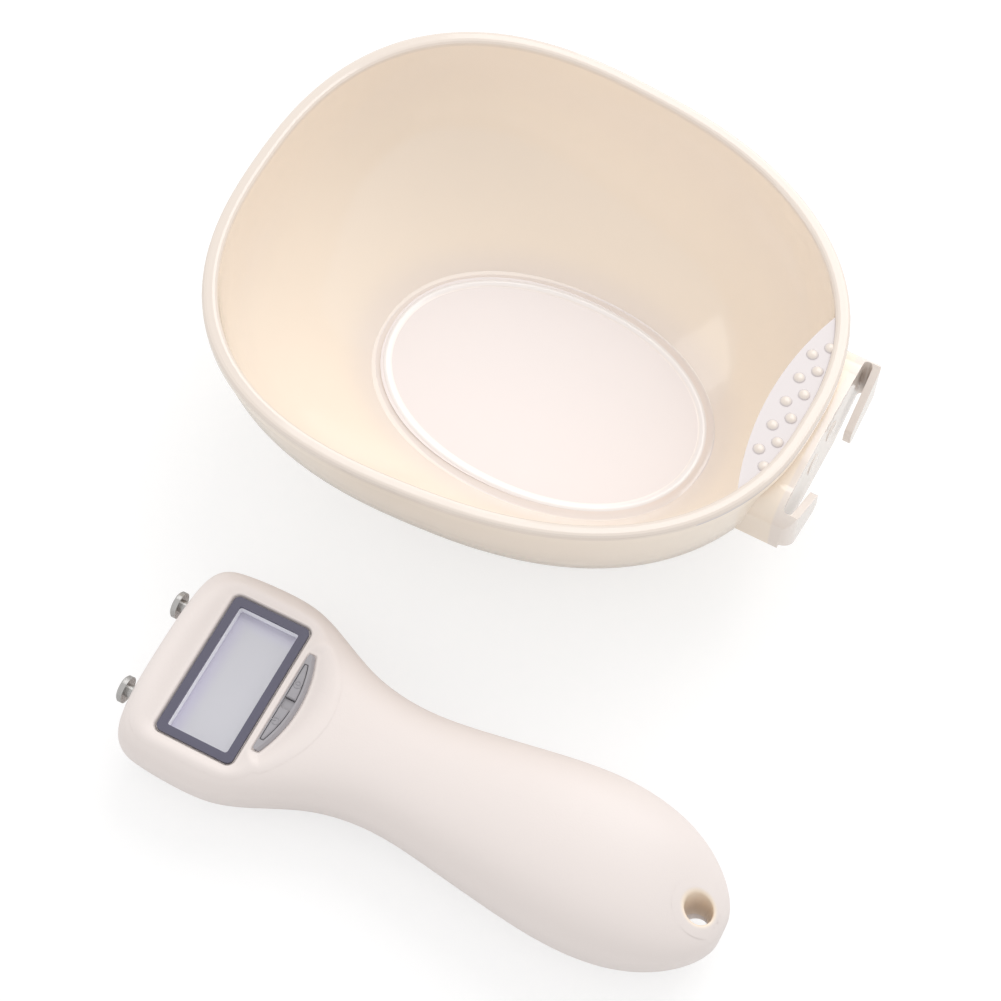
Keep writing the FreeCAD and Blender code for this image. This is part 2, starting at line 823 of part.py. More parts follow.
def bottom_shell(outer, hollow):
    """Lower moulding of the head and waist, which carries the load cell."""
    lower = box(along(-overrun), along(cover_front - cover_gap), across(-handle_half_width
                - overrun), across(handle_half_width + overrun), -overrun, split_height)
    shell = outer.cut(hollow).common(lower)
    boss = box(along(beam_boss_front), along(beam_boss_rear), across(-beam_width / 2.0),
               across(beam_width / 2.0), 0.0, beam_bottom)
    shell = shell.fuse(boss.common(outer))
    for x, y in shell_screw_places():
        post = rod_z(x, y, 0.0, split_height, shell_boss_radius)
        shell = shell.fuse(post.common(outer))
    for x, y in shell_screw_places():
        shell = shell.cut(rod_z(x, y, -overrun, shell_screw_seat, shell_screw_head_radius
                                + screw_clearance))
        shell = shell.cut(rod_z(x, y, -overrun, split_height, shell_screw_radius
                                + screw_clearance))
    for side in (-1.0, 1.0):
        shell = shell.cut(rod_z(along(beam_rear_screw), across(side * beam_screw_y),
                                beam_bottom - beam_screw_bite, beam_bottom, beam_screw_radius))
    return shell.removeSplitter()


def shell_screws():
    """Three screws with sunk heads in the bottom shell."""
    length = split_height + shell_screw_bite - shell_screw_seat
    screws = [screw_up(x, y, shell_screw_seat, shell_screw_radius, shell_screw_head_radius,
                       shell_screw_head_height, length)
              for x, y in shell_screw_places()]
    return Part.makeCompound(screws)


def battery_cover(outer, hollow):
    """Lower half of the palm and tail, with two tongues, grip ribs and its lanyard hole."""
    top = split_height - cover_slide_gap
    lower = box(along(cover_front), along(handle_length + overrun), across(-handle_half_width
                - overrun), across(handle_half_width + overrun), -overrun, top)
    cover = outer.cut(hollow).common(lower)
    tube = rod_z(along(lanyard_from_front), across(0.0), 0.0, top,
                 lanyard_radius + lanyard_wall)
    cover = cover.fuse(tube.common(outer))
    cover = cover.cut(rod_z(along(lanyard_from_front), across(0.0), -overrun, split_height,
                            lanyard_radius))
    tongue_low = floor_height(cover_front - tongue_reach) + tongue_lift
    for side in (-1.0, 1.0):
        y0 = across(side * tongue_y - tongue_width / 2.0)
        tongue = box(along(cover_front - tongue_reach), along(cover_front + tongue_reach),
                     y0, y0 + tongue_width, tongue_low, tongue_low + tongue_thickness)
        foot = box(along(cover_front), along(cover_front + tongue_reach), y0,
                   y0 + tongue_width, floor_height(cover_front) - handle_wall,
                   tongue_low + tongue_thickness)
        cover = cover.fuse(tongue.fuse(foot.common(outer)))
    for index in range(grip_rib_count):
        start = along(grip_first + index * grip_rib_pitch)
        cover = cover.cut(box(start, start + grip_rib_width, across(-grip_rib_length / 2.0),
                              across(grip_rib_length / 2.0), -overrun, grip_rib_depth))
    return cover.removeSplitter()


def display_frame():
    """Dark border round the display."""
    low = pocket_floor - frame_seat
    ring = rounded_plan(frame_length - cover_slide_gap, frame_width - cover_slide_gap,
                        frame_corner, low, low + frame_thickness)
    inner = rounded_plan(frame_length - 2.0 * frame_border, frame_width - 2.0 * frame_border,
                         frame_corner / 2.0, low - overrun, low + frame_thickness + overrun)
    return ring.cut(inner)


def display_pane():
    """Clear pane under the frame's lip."""
    top = pocket_floor - frame_seat
    length = frame_length - 2.0 * (frame_border - pane_lap) - cover_slide_gap
    width = frame_width - 2.0 * (frame_border - pane_lap) - cover_slide_gap
    return rounded_plan(length, width, frame_corner / 2.0, top - pane_thickness, top)


def lcd_block(grow, z0, z1):
    """Block with the glass's plan, grown on every side."""
    return box(along(display_centre - lcd_length / 2.0 - grow),
               along(display_centre + lcd_length / 2.0 + grow),
               across(-lcd_width / 2.0 - grow), across(lcd_width / 2.0 + grow), z0, z1)


def lcd_top():
    """The glass lies against the underside of the deck."""
    return pocket_floor - deck_thickness


def lcd_panel():
    """Display glass."""
    return lcd_block(0.0, lcd_top() - lcd_thickness, lcd_top())


def lcd_holder():
    """Plastic frame that holds the glass over the board."""
    ring = lcd_block(holder_gap + holder_wall, board_top, lcd_top())
    return ring.cut(lcd_block(holder_gap, board_top - overrun, lcd_top() + overrun))


def zebra_strips():
    """Two rubber strips between the board and the glass's long edges."""
    strips = []
    low, high = board_top, lcd_top() - lcd_thickness
    for side in (-1.0, 1.0):
        edge = display_centre + side * (lcd_length - zebra_width) / 2.0
        strips.append(box(along(edge - zebra_width / 2.0), along(edge + zebra_width / 2.0),
                          across(-lcd_width / 2.0), across(lcd_width / 2.0), low, high))
    return Part.makeCompound(strips)


def circuit_board():
    """Board with a wide part under the display and a narrow part under the keys."""
    low = board_top - board_thickness
    wide = box(along(board_front), along(board_step), across(-board_half_width),
               across(board_half_width), low, board_top)
    narrow = box(along(board_step), along(board_rear), across(-board_tail_half_width),
                 across(board_tail_half_width), low, board_top)
    board = wide.fuse(narrow)
    for x, y in board_screw_places():
        board = board.cut(rod_z(x, y, low - overrun, board_top + overrun,
                                small_screw_radius + screw_clearance))
    return board.removeSplitter()


def board_screws():
    """Four screws up through the board into the top shell's posts."""
    seat = board_top - board_thickness
    screws = [screw_up(x, y, seat, small_screw_radius, small_screw_head_radius,
                       small_screw_head_height, board_thickness + small_screw_bite)
              for x, y in board_screw_places()]
    return Part.makeCompound(screws)


def controller_chip():
    """Chip under a round blob of resin, on the board's underside."""
    low = board_top - board_thickness
    blob = rod_z(along(chip_from_front), across(chip_y), low - chip_height, low, chip_radius)
    rim = [edge for edge in blob.Edges
           if edge.BoundBox.ZMax < low - chip_height + chip_height / 10.0]
    return blob.makeChamfer(chip_chamfer, rim)


def key_flange_top():
    """A key's flange stands this high at rest, under the deck."""
    return pocket_floor - deck_thickness - key_flange_gap


def key_centre():
    """Station of the middle of the key pad."""
    return crescent_front + crescent_rise / 2.0


def key_switch(side):
    """Small push switch under one key."""
    x, y = along(key_centre()), across(side * switch_y)
    body = box(x - switch_side / 2.0, x + switch_side / 2.0, y - switch_side / 2.0,
               y + switch_side / 2.0, board_top, board_top + switch_height)
    plunger_top = key_flange_top() - key_flange_thickness - plunger_gap
    return body.fuse(rod_z(x, y, board_top + switch_height, plunger_top, plunger_radius))


def key(side):
    """One key: a cap with a chamfered edge, and a flange that keeps it in."""
    bridge = key_bridge_half_width + key_gap
    flange_low = key_flange_top() - key_flange_thickness
    cap = key_opening(key_gap, key_flange_top() - overrun / 2.0, key_top)
    y0, y1 = sorted((across(side * bridge), across(side * crescent_length)))
    half_space = box(along(0.0), along(board_rear), y0, y1, 0.0, handle_height)
    cap = cap.common(half_space)
    top_edges = [edge for edge in cap.Edges
                 if edge.BoundBox.ZMin > key_top - key_edge_chamfer / 10.0]
    cap = cap.makeChamfer(key_edge_chamfer, top_edges)
    flange = key_opening(-key_flange_reach, flange_low, key_flange_top())
    return cap.fuse(flange.common(half_space)).removeSplitter()


def key_frame():
    """Crescent rim with a lower bridge between the two keys."""
    low = pocket_floor - key_seat
    gap = key_frame_gap
    block = crescent_plan(gap, gap, gap, low, key_frame_top)
    arc = [edge for edge in block.Edges
           if edge.BoundBox.ZMin > key_frame_top - key_rim_chamfer / 10.0
           and edge.BoundBox.YLength > crescent_length / 4.0
           and edge.BoundBox.XLength > crescent_rise / 2.0]
    block = block.makeChamfer(key_rim_chamfer, arc)
    uprights = [edge for edge in block.Edges
                if edge.BoundBox.ZLength > key_frame_top - low - 2.0 * key_rim_chamfer
                and edge.BoundBox.XLength < overrun / 100.0
                and edge.BoundBox.YLength < overrun / 100.0]
    block = block.makeFillet(crescent_corner, uprights)
    rim = block.cut(key_opening(0.0, low - overrun, key_frame_top + overrun))
    bridge = key_opening(-key_rim_flat / 2.0, low, key_bridge_top)
    bridge = bridge.common(box(along(0.0), along(board_rear), across(-key_bridge_half_width),
                               across(key_bridge_half_width), low, key_bridge_top))
    return rim.fuse(bridge).removeSplitter()


def load_cell():
    """Aluminium beam with two round windows joined by a slot, so that it bends evenly."""
    x0, x1 = along(beam_front), along(beam_front + beam_length)
    half = beam_width / 2.0
    beam = box(x0, x1, across(-half), across(half), beam_bottom, beam_bottom + beam_height)
    middle = beam_bottom + beam_height / 2.0
    windows = (x0 + beam_window_from_ends, x1 - beam_window_from_ends)
    for x in windows:
        beam = beam.cut(Part.makeCylinder(beam_window_radius, beam_width + 2.0 * overrun,
                                          Vector(x, across(-half - overrun), middle),
                                          Vector(0, 1, 0)))
    beam = beam.cut(box(windows[0], windows[1], across(-half - overrun),
                        across(half + overrun), middle - beam_slot / 2.0,
                        middle + beam_slot / 2.0))
    for side in (-1.0, 1.0):
        y = across(side * beam_screw_y)
        beam = beam.cut(rod_z(along(beam_rear_screw), y, beam_bottom - overrun,
                              beam_bottom + beam_height + overrun,
                              beam_screw_radius + screw_clearance))
        beam = beam.cut(rod_z(along(beam_front_screw), y, beam_bottom - overrun,
                              beam_bottom + beam_screw_bite, beam_screw_radius))
    return beam.removeSplitter()


def gauge_places():
    """Where the strain gauges sit: over and under each window."""
    first = beam_front + beam_window_from_ends
    second = beam_front + beam_length - beam_window_from_ends
    top = beam_bottom + beam_height
    return [(first, top), (second, top), (first, beam_bottom - gauge_thickness),
            (second, beam_bottom - gauge_thickness)]


def strain_gauges():
    """Four thin gauges glued to the beam."""
    patches = []
    for station, low in gauge_places():
        patches.append(box(along(station - gauge_length / 2.0),
                           along(station + gauge_length / 2.0), across(-gauge_width / 2.0),
                           across(gauge_width / 2.0), low, low + gauge_thickness))
    return Part.makeCompound(patches)


def load_cell_screws():
    """Two screws down through the beam's fixed end into the bottom shell's boss."""
    seat = beam_bottom + beam_height
    return Part.makeCompound([
        screw_down(along(beam_rear_screw), across(side * beam_screw_y), seat,
                   beam_screw_radius, beam_screw_head_radius, beam_screw_head_height,
                   beam_height + beam_screw_bite)
        for side in (-1.0, 1.0)])


def stud_bracket():
    """Steel angle: its foot is screwed under the beam's free end, its face holds the studs."""
    foot_low = beam_bottom - angle_foot_thickness
    face = box(along(angle_front), along(angle_front + angle_thickness),
               across(-angle_half_width), across(angle_half_width), angle_face_bottom,
               angle_top)
    half = beam_width / 2.0
    foot = box(along(angle_front), along(angle_front + angle_thickness + angle_foot_length),
               across(-half), across(half), foot_low, beam_bottom)
    angle = face.fuse(foot)
    for side in (-1.0, 1.0):
        angle = angle.cut(rod_x(along(angle_front - overrun), along(angle_front
                          + angle_thickness + overrun), across(side * stud_spacing / 2.0),
                          stud_height, stud_thread_radius))
        angle = angle.cut(rod_z(along(beam_front_screw), across(side * beam_screw_y),
                                foot_low - overrun, beam_bottom + overrun,
                                beam_screw_radius + screw_clearance))
    return angle.removeSplitter()


def stud_bracket_screws():
    """Two screws up through the angle's foot into the beam's free end."""
    seat = beam_bottom - angle_foot_thickness
    return Part.makeCompound([
        screw_up(along(beam_front_screw), across(side * beam_screw_y), seat,
                 beam_screw_radius, beam_screw_head_radius, beam_screw_head_height,
                 angle_foot_thickness + beam_screw_bite)
        for side in (-1.0, 1.0)])


def stud(side):
    """Headed stud: the bowl's hook lies on its neck, behind its head."""
    y = across(side * stud_spacing / 2.0)
    head_back = -stud_neck_length
    head_face = head_back - stud_head_thickness
    head = rod_x(along(head_face), along(head_back), y, stud_height, stud_head_radius)
    edges = [edge for edge in head.Edges
             if abs(edge.BoundBox.XMax - along(head_face)) < stud_head_chamfer / 10.0]
    head = head.makeChamfer(stud_head_chamfer, edges)
    neck = rod_x(along(head_back), along(angle_front), y, stud_height, stud_neck_radius)
    thread = rod_x(along(angle_front), along(angle_front + angle_thickness), y, stud_height,
                   stud_thread_radius)
    return fuse_all([head, neck, thread])


def tray_inner_front():
    """Station of the front contacts' face."""
    return tray_front + tray_end_wall + contact_thickness


def tray_inner_rear():
    """Station of the rear contact's face."""
    return tray_inner_front() + cell_length + cell_nub_length + spring_length


def cell_y(side):
    """Distance of a cell's axis from the handle's axis."""
    return side * (cell_radius + cell_gap / 2.0)


def battery(side, nub_first):
    """Dry cell with its raised contact at one end."""
    y = across(cell_y(side))
    if nub_first:
        start = tray_inner_front() + cell_nub_length
        nub = rod_x(along(tray_inner_front()), along(start), y, cell_axis_height,
                    cell_nub_radius)
    else:
        start = tray_inner_front() + spring_length
        nub = rod_x(along(start + cell_length), along(start + cell_length + cell_nub_length),
                    y, cell_axis_height, cell_nub_radius)
    can = rod_x(along(start), along(start + cell_length), y, cell_axis_height, cell_radius)
    return can.fuse(nub).removeSplitter()


def leaf_spring(start, direction, side):
    """Bowed strip between a contact's face and a cell's flat end."""
    y0 = across(cell_y(side) - spring_width / 2.0)

    def bow(half, rise):
        low = Vector(along(start), y0, cell_axis_height - half)
        middle = Vector(along(start + direction * rise), y0, cell_axis_height)
        high = Vector(along(start), y0, cell_axis_height + half)
        return low, high, Part.Arc(low, middle, high).toShape()

    low, high, outer = bow(spring_half_height, spring_length)
    inner_low, inner_high, inner = bow(spring_half_height - 2.0 * spring_thickness,
                                       spring_length - spring_thickness)
    wire = Part.Wire([outer, Part.makeLine(high, inner_high), inner,
                      Part.makeLine(inner_low, low)])
    return Part.Face(wire).extrude(Vector(0, spring_width, 0))


def battery_springs():
    """One spring at each cell's flat end."""
    return Part.makeCompound([leaf_spring(tray_inner_front(), 1.0, 1.0),
                              leaf_spring(tray_inner_rear(), -1.0, -1.0)])


def contact_plate(start, y_low, y_high):
    """Sprung metal plate on a wall of the tray."""
    half = contact_side / 2.0
    return box(along(start), along(start + contact_thickness), across(y_low), across(y_high),
               cell_axis_height - half, cell_axis_height + half)


def battery_contacts():
    """The two front contacts, one for each lead."""
    plates = []
    for side in (-1.0, 1.0):
        middle = cell_y(side)
        plates.append(contact_plate(tray_front + tray_end_wall, middle - contact_side / 2.0,
                                    middle + contact_side / 2.0))
    return Part.makeCompound(plates)


def battery_link():
    """The rear contact, which joins both cells."""
    reach = cell_y(1.0) + contact_side / 2.0
    return contact_plate(tray_inner_rear(), -reach, reach)


def battery_tray():
    """Saddle over both cells, with an end wall for the contacts at each end."""
    x0 = along(tray_front)
    x1 = along(tray_inner_rear() + contact_thickness + tray_end_wall)
    bore = cell_radius + tray_cell_clearance
    skin = bore + tray_skin
    saddle = box(x0, x1, across(-cell_y(1.0)), across(cell_y(1.0)), tray_saddle_low,
                 tray_top())
    for side in (-1.0, 1.0):
        saddle = saddle.fuse(rod_x(x0, x1, across(cell_y(side)), cell_axis_height, skin))
    trim = box(x0, x1, across(-handle_half_width), across(handle_half_width),
               tray_saddle_low, tray_top())
    saddle = saddle.common(trim)
    for side in (-1.0, 1.0):
        saddle = saddle.cut(rod_x(x0, x1, across(cell_y(side)), cell_axis_height, bore))
    walls = []
    for start in (tray_front, tray_inner_rear() + contact_thickness):
        walls.append(box(along(start), along(start + tray_end_wall),
                         across(-tray_half_width), across(tray_half_width), tray_low,
                         tray_saddle_low + tray_skin))
    tray = saddle.fuse(walls[0]).fuse(walls[1])
    for x, y in tray_screw_places():
        tray = tray.cut(rod_z(x, y, tray_low, tray_top() + overrun,
                              small_screw_radius + screw_clearance))
        tray = tray.cut(rod_z(x, y, tray_low, tray_top() - tray_skin,
                              small_screw_head_radius + screw_clearance))
    return tray.removeSplitter()


def tray_screws():
    """Two screws up through the tray into the top shell."""
    seat = tray_top() - tray_skin
    return Part.makeCompound([
        screw_up(x, y, seat, small_screw_radius, small_screw_head_radius,
                 small_screw_head_height, tray_skin + small_screw_bite)
        for x, y in tray_screw_places()])


def lead(points, radius):
    """Insulated wire along straight runs, round at each turn."""
    wire = Part.makeSphere(radius, points[1])
    for turn in points[2:-1]:
        wire = wire.fuse(Part.makeSphere(radius, turn))
    for start, end in zip(points, points[1:]):
        run = end - start
        wire = wire.fuse(Part.makeCylinder(radius, run.Length, start, run))
    return wire.removeSplitter()


def battery_leads():
    """Two leads from the front contacts' wall, past the beam's sides, up to the board."""
    leads = []
    for side in (-1.0, 1.0):
        y = across(side * lead_y)
        leads.append(lead([
            Vector(along(tray_front - lead_radius / 2.0), across(cell_y(side)),
                   cell_axis_height),
            Vector(along(lead_turn), y, lead_height),
            Vector(along(lead_end), y, lead_height),
            Vector(along(lead_end), y, board_top - board_thickness),
        ], lead_radius))
    return Part.makeCompound(leads)


def load_cell_lead():
    """Two thin wires side by side, from the beam's fixed end up to the board."""
    wires = []
    for index in range(sense_lead_count):
        x = along(sense_lead_first + index * sense_lead_pitch)
        wires.append(lead([
            Vector(x, across(beam_width / 2.0), sense_lead_height),
            Vector(x, across(sense_lead_y), sense_lead_height),
            Vector(x, across(sense_lead_y), board_top - board_thickness),
        ], sense_lead_radius))
    return Part.makeCompound(wires)


def main():
    """Build every piece and write it."""
    os.makedirs("parts", exist_ok=True)
    outer = handle_outer()
    hollow = handle_hollow()
    export("bowl", turned(bowl()))
    export("hook_bracket", turned(hook_bracket()))
    export("bracket_screws", turned(Part.makeCompound([bracket_screw(-bracket_screw_y),
                                                       bracket_screw(bracket_screw_y)])))
    export("top_shell", top_shell(outer, hollow))
    export("bottom_shell", bottom_shell(outer, hollow))
    export("shell_screws", shell_screws())
    export("battery_cover", battery_cover(outer, hollow))
    export("display_frame", display_frame())
    export("display_pane", display_pane())
    export("lcd_panel", lcd_panel())
    export("lcd_holder", lcd_holder())
    export("zebra_strips", zebra_strips())
    export("circuit_board", circuit_board())
    export("board_screws", board_screws())
    export("controller_chip", controller_chip())
    export("power_switch", key_switch(-1.0))
    export("unit_switch", key_switch(1.0))
    export("power_key", key(-1.0))
    export("unit_key", key(1.0))
    export("key_frame", key_frame())
    export("load_cell", load_cell())
    export("strain_gauges", strain_gauges())
    export("load_cell_lead", load_cell_lead())
    export("load_cell_screws", load_cell_screws())
    export("stud_bracket", stud_bracket())
    export("stud_bracket_screws", stud_bracket_screws())
    export("stud_left", stud(-1.0))
    export("stud_right", stud(1.0))
    export("battery_tray", battery_tray())
    export("tray_screws", tray_screws())
    export("battery_1", battery(1.0, False))
    export("battery_2", battery(-1.0, True))
    export("battery_springs", battery_springs())
    export("battery_contacts", battery_contacts())
    export("battery_link", battery_link())
    export("battery_leads", battery_leads())


main()
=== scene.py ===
# %% [markdown]
# A kitchen scoop with a scale in its handle, taken apart: the bowl stands behind, the
# handle lies in front with its display up. The solids come ready made from the packed
# part. This file gives them their light, their camera and their finish, and adds the
# small raised marks and soft edges that a moulded product has.

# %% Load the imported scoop
import json
import math

import bmesh
import bpy
import numpy as np
from mathutils import Matrix, Vector


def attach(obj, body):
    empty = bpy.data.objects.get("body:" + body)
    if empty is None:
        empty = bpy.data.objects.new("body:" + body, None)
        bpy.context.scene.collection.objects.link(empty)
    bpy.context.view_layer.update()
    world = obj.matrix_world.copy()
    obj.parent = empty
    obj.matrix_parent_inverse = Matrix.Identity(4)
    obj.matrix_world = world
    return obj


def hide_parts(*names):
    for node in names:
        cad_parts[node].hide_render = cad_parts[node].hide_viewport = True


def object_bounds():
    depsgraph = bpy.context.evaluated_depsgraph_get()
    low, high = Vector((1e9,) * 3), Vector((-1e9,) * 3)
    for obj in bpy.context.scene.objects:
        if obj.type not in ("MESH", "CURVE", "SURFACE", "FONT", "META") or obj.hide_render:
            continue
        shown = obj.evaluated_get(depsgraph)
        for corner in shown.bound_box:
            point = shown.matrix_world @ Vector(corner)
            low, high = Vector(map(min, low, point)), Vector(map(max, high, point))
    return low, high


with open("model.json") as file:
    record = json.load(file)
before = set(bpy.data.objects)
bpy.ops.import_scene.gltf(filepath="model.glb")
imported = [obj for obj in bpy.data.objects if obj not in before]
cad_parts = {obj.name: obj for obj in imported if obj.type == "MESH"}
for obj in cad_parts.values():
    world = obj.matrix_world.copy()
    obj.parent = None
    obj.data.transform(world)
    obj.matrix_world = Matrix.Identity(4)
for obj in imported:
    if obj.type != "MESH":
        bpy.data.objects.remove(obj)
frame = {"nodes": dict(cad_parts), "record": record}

cad_low, cad_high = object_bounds()
nodes = frame["nodes"]
mm = 0.001
um = 0.001 * mm
print("CAD box in mm", [round(v / mm, 1) for v in cad_low],
      [round(v / mm, 1) for v in cad_high])

# %% [markdown]
# The photograph looks down steeply, about 63 degrees above the table, from half a metre.
# A camera is placed by the point it looks at, the direction it looks in and a distance.
# A long lens keeps both pieces nearly free of perspective, as in the photograph.

# %% Camera
scene = bpy.context.scene
look_at = Vector((6.352, -24.539, 0.0)) * mm
look_along = Vector((-0.21178, 0.40508, -0.8894)).normalized()
image_right = Vector((0.8862, 0.4633, 0.0)).normalized()
camera_distance = 510.0 * mm
sensor_width = 36.0
image_width = 1001.0
focal_pixels = 2576.0
nearest_seen = 10.0 * mm

image_up = image_right.cross(look_along)
camera_data = bpy.data.cameras.new("scoop_camera")
camera_data.sensor_width = sensor_width
camera_data.lens = focal_pixels / image_width * sensor_width
camera_data.clip_start = nearest_seen
camera = bpy.data.objects.new("scoop_camera", camera_data)
turn = Matrix((image_right, image_up, -look_along)).transposed().to_4x4()
camera.matrix_world = Matrix.Translation(look_at - look_along * camera_distance) @ turn
scene.collection.objects.link(camera)
scene.camera = camera
print("camera at mm", [round(v / mm, 1) for v in camera.location],
      "lens", round(camera_data.lens, 1))

# %% [markdown]
# Pale plastic on a white table needs even light: one wide soft lamp above and behind,
# a weaker one from the left, and an even sky. The sky that the camera, glass and metal
# see is white, but the sky that lights the object is weaker, so that nothing burns out.

# %% Light and sky
scene.view_settings.view_transform = "Standard"
sky_light = 0.82
sky_seen = 1.0
white = (1.0, 1.0, 1.0, 1.0)
# Places and sizes of the lamps are in metres
lamp_aim = Vector((0.0, -0.03, 0.02))
image_back = Vector((-0.4633, 0.8862, 0.0))
overhead_place = image_back * 0.6 + image_right * 0.4 + Vector((0.0, 0.0, 0.85))
overhead_size, overhead_watts = 0.9, 5.35
left_place = image_right * -0.9 + Vector((0.0, 0.0, 0.6))
left_size, left_watts = 0.4, 0.5


def seen_or_lit(tree, seen, lit):
    """Strength that is `seen` for camera, mirror and glass rays, and `lit` for all others."""
    path = tree.nodes.new("ShaderNodeLightPath")
    first = tree.nodes.new("ShaderNodeMath")
    second = tree.nodes.new("ShaderNodeMath")
    first.operation = second.operation = "MAXIMUM"
    tree.links.new(path.outputs["Is Camera Ray"], first.inputs[0])
    tree.links.new(path.outputs["Is Glossy Ray"], first.inputs[1])
    tree.links.new(first.outputs[0], second.inputs[0])
    tree.links.new(path.outputs["Is Transmission Ray"], second.inputs[1])
    strength = tree.nodes.new("ShaderNodeMapRange")
    strength.inputs["To Min"].default_value = lit
    strength.inputs["To Max"].default_value = seen
    tree.links.new(second.outputs[0], strength.inputs["Value"])
    return strength.outputs["Result"]


world = bpy.data.worlds.new("studio_sky")
world.use_nodes = True
scene.world = world
background = world.node_tree.nodes["Background"]
background.inputs["Color"].default_value = white
world.node_tree.links.new(seen_or_lit(world.node_tree, sky_seen, sky_light),
                          background.inputs["Strength"])


def soft_lamp(name, place, size, watts):
    """Square lamp at a place in metres, turned towards the scoop."""
    data = bpy.data.lights.new(name, "AREA")
    data.shape = "SQUARE"
    data.size = size
    data.energy = watts
    lamp = bpy.data.objects.new(name, data)
    lamp.location = place
    lamp.rotation_mode = "QUATERNION"
    lamp.rotation_quaternion = (lamp_aim - place).to_track_quat("-Z", "Y")
    scene.collection.objects.link(lamp)
    return lamp


overhead = soft_lamp("overhead_softbox", overhead_place, overhead_size, overhead_watts)
left = soft_lamp("left_softbox", left_place, left_size, left_watts)
print("lamps", overhead.data.energy, left.data.energy)

# %% [markdown]
# The table is a white sheet. It has to look white in the picture and still show the
# faint shadow under the scoop. So the camera sees a darker paper with an even glow added:
# the glow carries most of the white and only the rest of it can be shaded.

# %% White table
table_grey = 0.86
table_seen_grey = 0.42
table_glow = 0.62
table_half = 3.0
table_gap = 0.05 * mm


def table_finish():
    """White paper that camera rays see as a darker paper with a glow."""
    material = bpy.data.materials.new("white_paper")
    material.use_nodes = True
    tree = material.node_tree
    shader = tree.nodes["Principled BSDF"]
    shader.inputs["Roughness"].default_value = 0.9
    shader.inputs["Specular IOR Level"].default_value = 0.1
    shader.inputs["Emission Color"].default_value = white
    path = tree.nodes.new("ShaderNodeLightPath")
    tone = tree.nodes.new("ShaderNodeMapRange")
    tone.inputs["To Min"].default_value = table_grey
    tone.inputs["To Max"].default_value = table_seen_grey
    glow = tree.nodes.new("ShaderNodeMath")
    glow.operation = "MULTIPLY"
    glow.inputs[1].default_value = table_glow
    tree.links.new(path.outputs["Is Camera Ray"], tone.inputs["Value"])
    tree.links.new(tone.outputs["Result"], shader.inputs["Base Color"])
    tree.links.new(path.outputs["Is Camera Ray"], glow.inputs[0])
    tree.links.new(glow.outputs[0], shader.inputs["Emission Strength"])
    return material


def make_table():
    """Square sheet just under the plane that the scoop stands on."""
    corners = np.array([(-1, -1), (1, -1), (1, 1), (-1, 1)]) * table_half
    mesh = bpy.data.meshes.new("white_table")
    mesh.from_pydata([(x, y, 0.0) for x, y in corners], [], [(0, 1, 2, 3)])
    table = bpy.data.objects.new("white_table", mesh)
    table.location.z = cad_low.z - table_gap
    scene.collection.objects.link(table)
    mesh.materials.append(table_finish())
    return table


table = make_table()
print("table at mm", round(table.location.z / mm, 3))

# %% [markdown]
# Every finish starts from the same base: one shader, a slow change of tone that moulded
# plastic has, and a fine bump for its grain. The pattern is read in the object's own
# coordinates, so it stays on the piece from every side. A "field" below is a number that
# changes over the piece, such as a noise, and drives a colour or a roughness.

# %% Tools for finishes
def start_finish(name, colour, roughness, metallic=0.0):
    """A new material with its shader's plain values set, and the tree to add to."""
    material = bpy.data.materials.new(name)
    material.use_nodes = True
    tree = material.node_tree
    shader = tree.nodes["Principled BSDF"]
    shader.inputs["Base Color"].default_value = (*colour, 1.0)
    shader.inputs["Roughness"].default_value = roughness
    shader.inputs["Metallic"].default_value = metallic
    return material, tree, shader


def object_place(tree):
    """The place on the piece in its own coordinates, split into X, Y and Z."""
    coords = tree.nodes.new("ShaderNodeTexCoord")
    split = tree.nodes.new("ShaderNodeSeparateXYZ")
    tree.links.new(coords.outputs["Object"], split.inputs["Vector"])
    return split.outputs


def reach_from(tree, centre, half_sizes):
    """Distance from an upright axis, as a share of two half sizes: 1 on their oval."""
    coords = tree.nodes.new("ShaderNodeTexCoord")
    oval = tree.nodes.new("ShaderNodeMapping")
    oval.inputs["Scale"].default_value = (1.0 / half_sizes[0], 1.0 / half_sizes[1], 0.0)
    oval.inputs["Location"].default_value = (-centre[0] / half_sizes[0],
                                             -centre[1] / half_sizes[1], 0.0)
    reach = tree.nodes.new("ShaderNodeVectorMath")
    reach.operation = "LENGTH"
    tree.links.new(coords.outputs["Object"], oval.inputs["Vector"])
    tree.links.new(oval.outputs["Vector"], reach.inputs[0])
    return reach.outputs["Value"]


def cloud(tree, scale, detail=3.0, stretch=(1.0, 1.0, 1.0)):
    """Soft noise in object coordinates. Scale is in repeats per metre."""
    coords = tree.nodes.new("ShaderNodeTexCoord")
    mapping = tree.nodes.new("ShaderNodeMapping")
    mapping.inputs["Scale"].default_value = stretch
    noise = tree.nodes.new("ShaderNodeTexNoise")
    noise.inputs["Scale"].default_value = scale
    noise.inputs["Detail"].default_value = detail
    tree.links.new(coords.outputs["Object"], mapping.inputs["Vector"])
    tree.links.new(mapping.outputs["Vector"], noise.inputs["Vector"])
    return noise.outputs["Fac"]


def step_up(tree, value, start, end, most=1.0):
    """Field that rises from 0 to its most between two values, or falls if they are swapped."""
    span = tree.nodes.new("ShaderNodeMapRange")
    span.interpolation_type = "SMOOTHSTEP"
    span.inputs["From Min"].default_value = start
    span.inputs["From Max"].default_value = end
    span.inputs["To Max"].default_value = most
    tree.links.new(value, span.inputs["Value"])
    return span.outputs["Result"]


def join_fields(tree, operation, first, *others):
    """Fields joined by one operation: their product, sum or largest."""
    for other in others:
        joint = tree.nodes.new("ShaderNodeMath")
        joint.operation = operation
        tree.links.new(first, joint.inputs[0])
        tree.links.new(other, joint.inputs[1])
        first = joint.outputs[0]
    return first


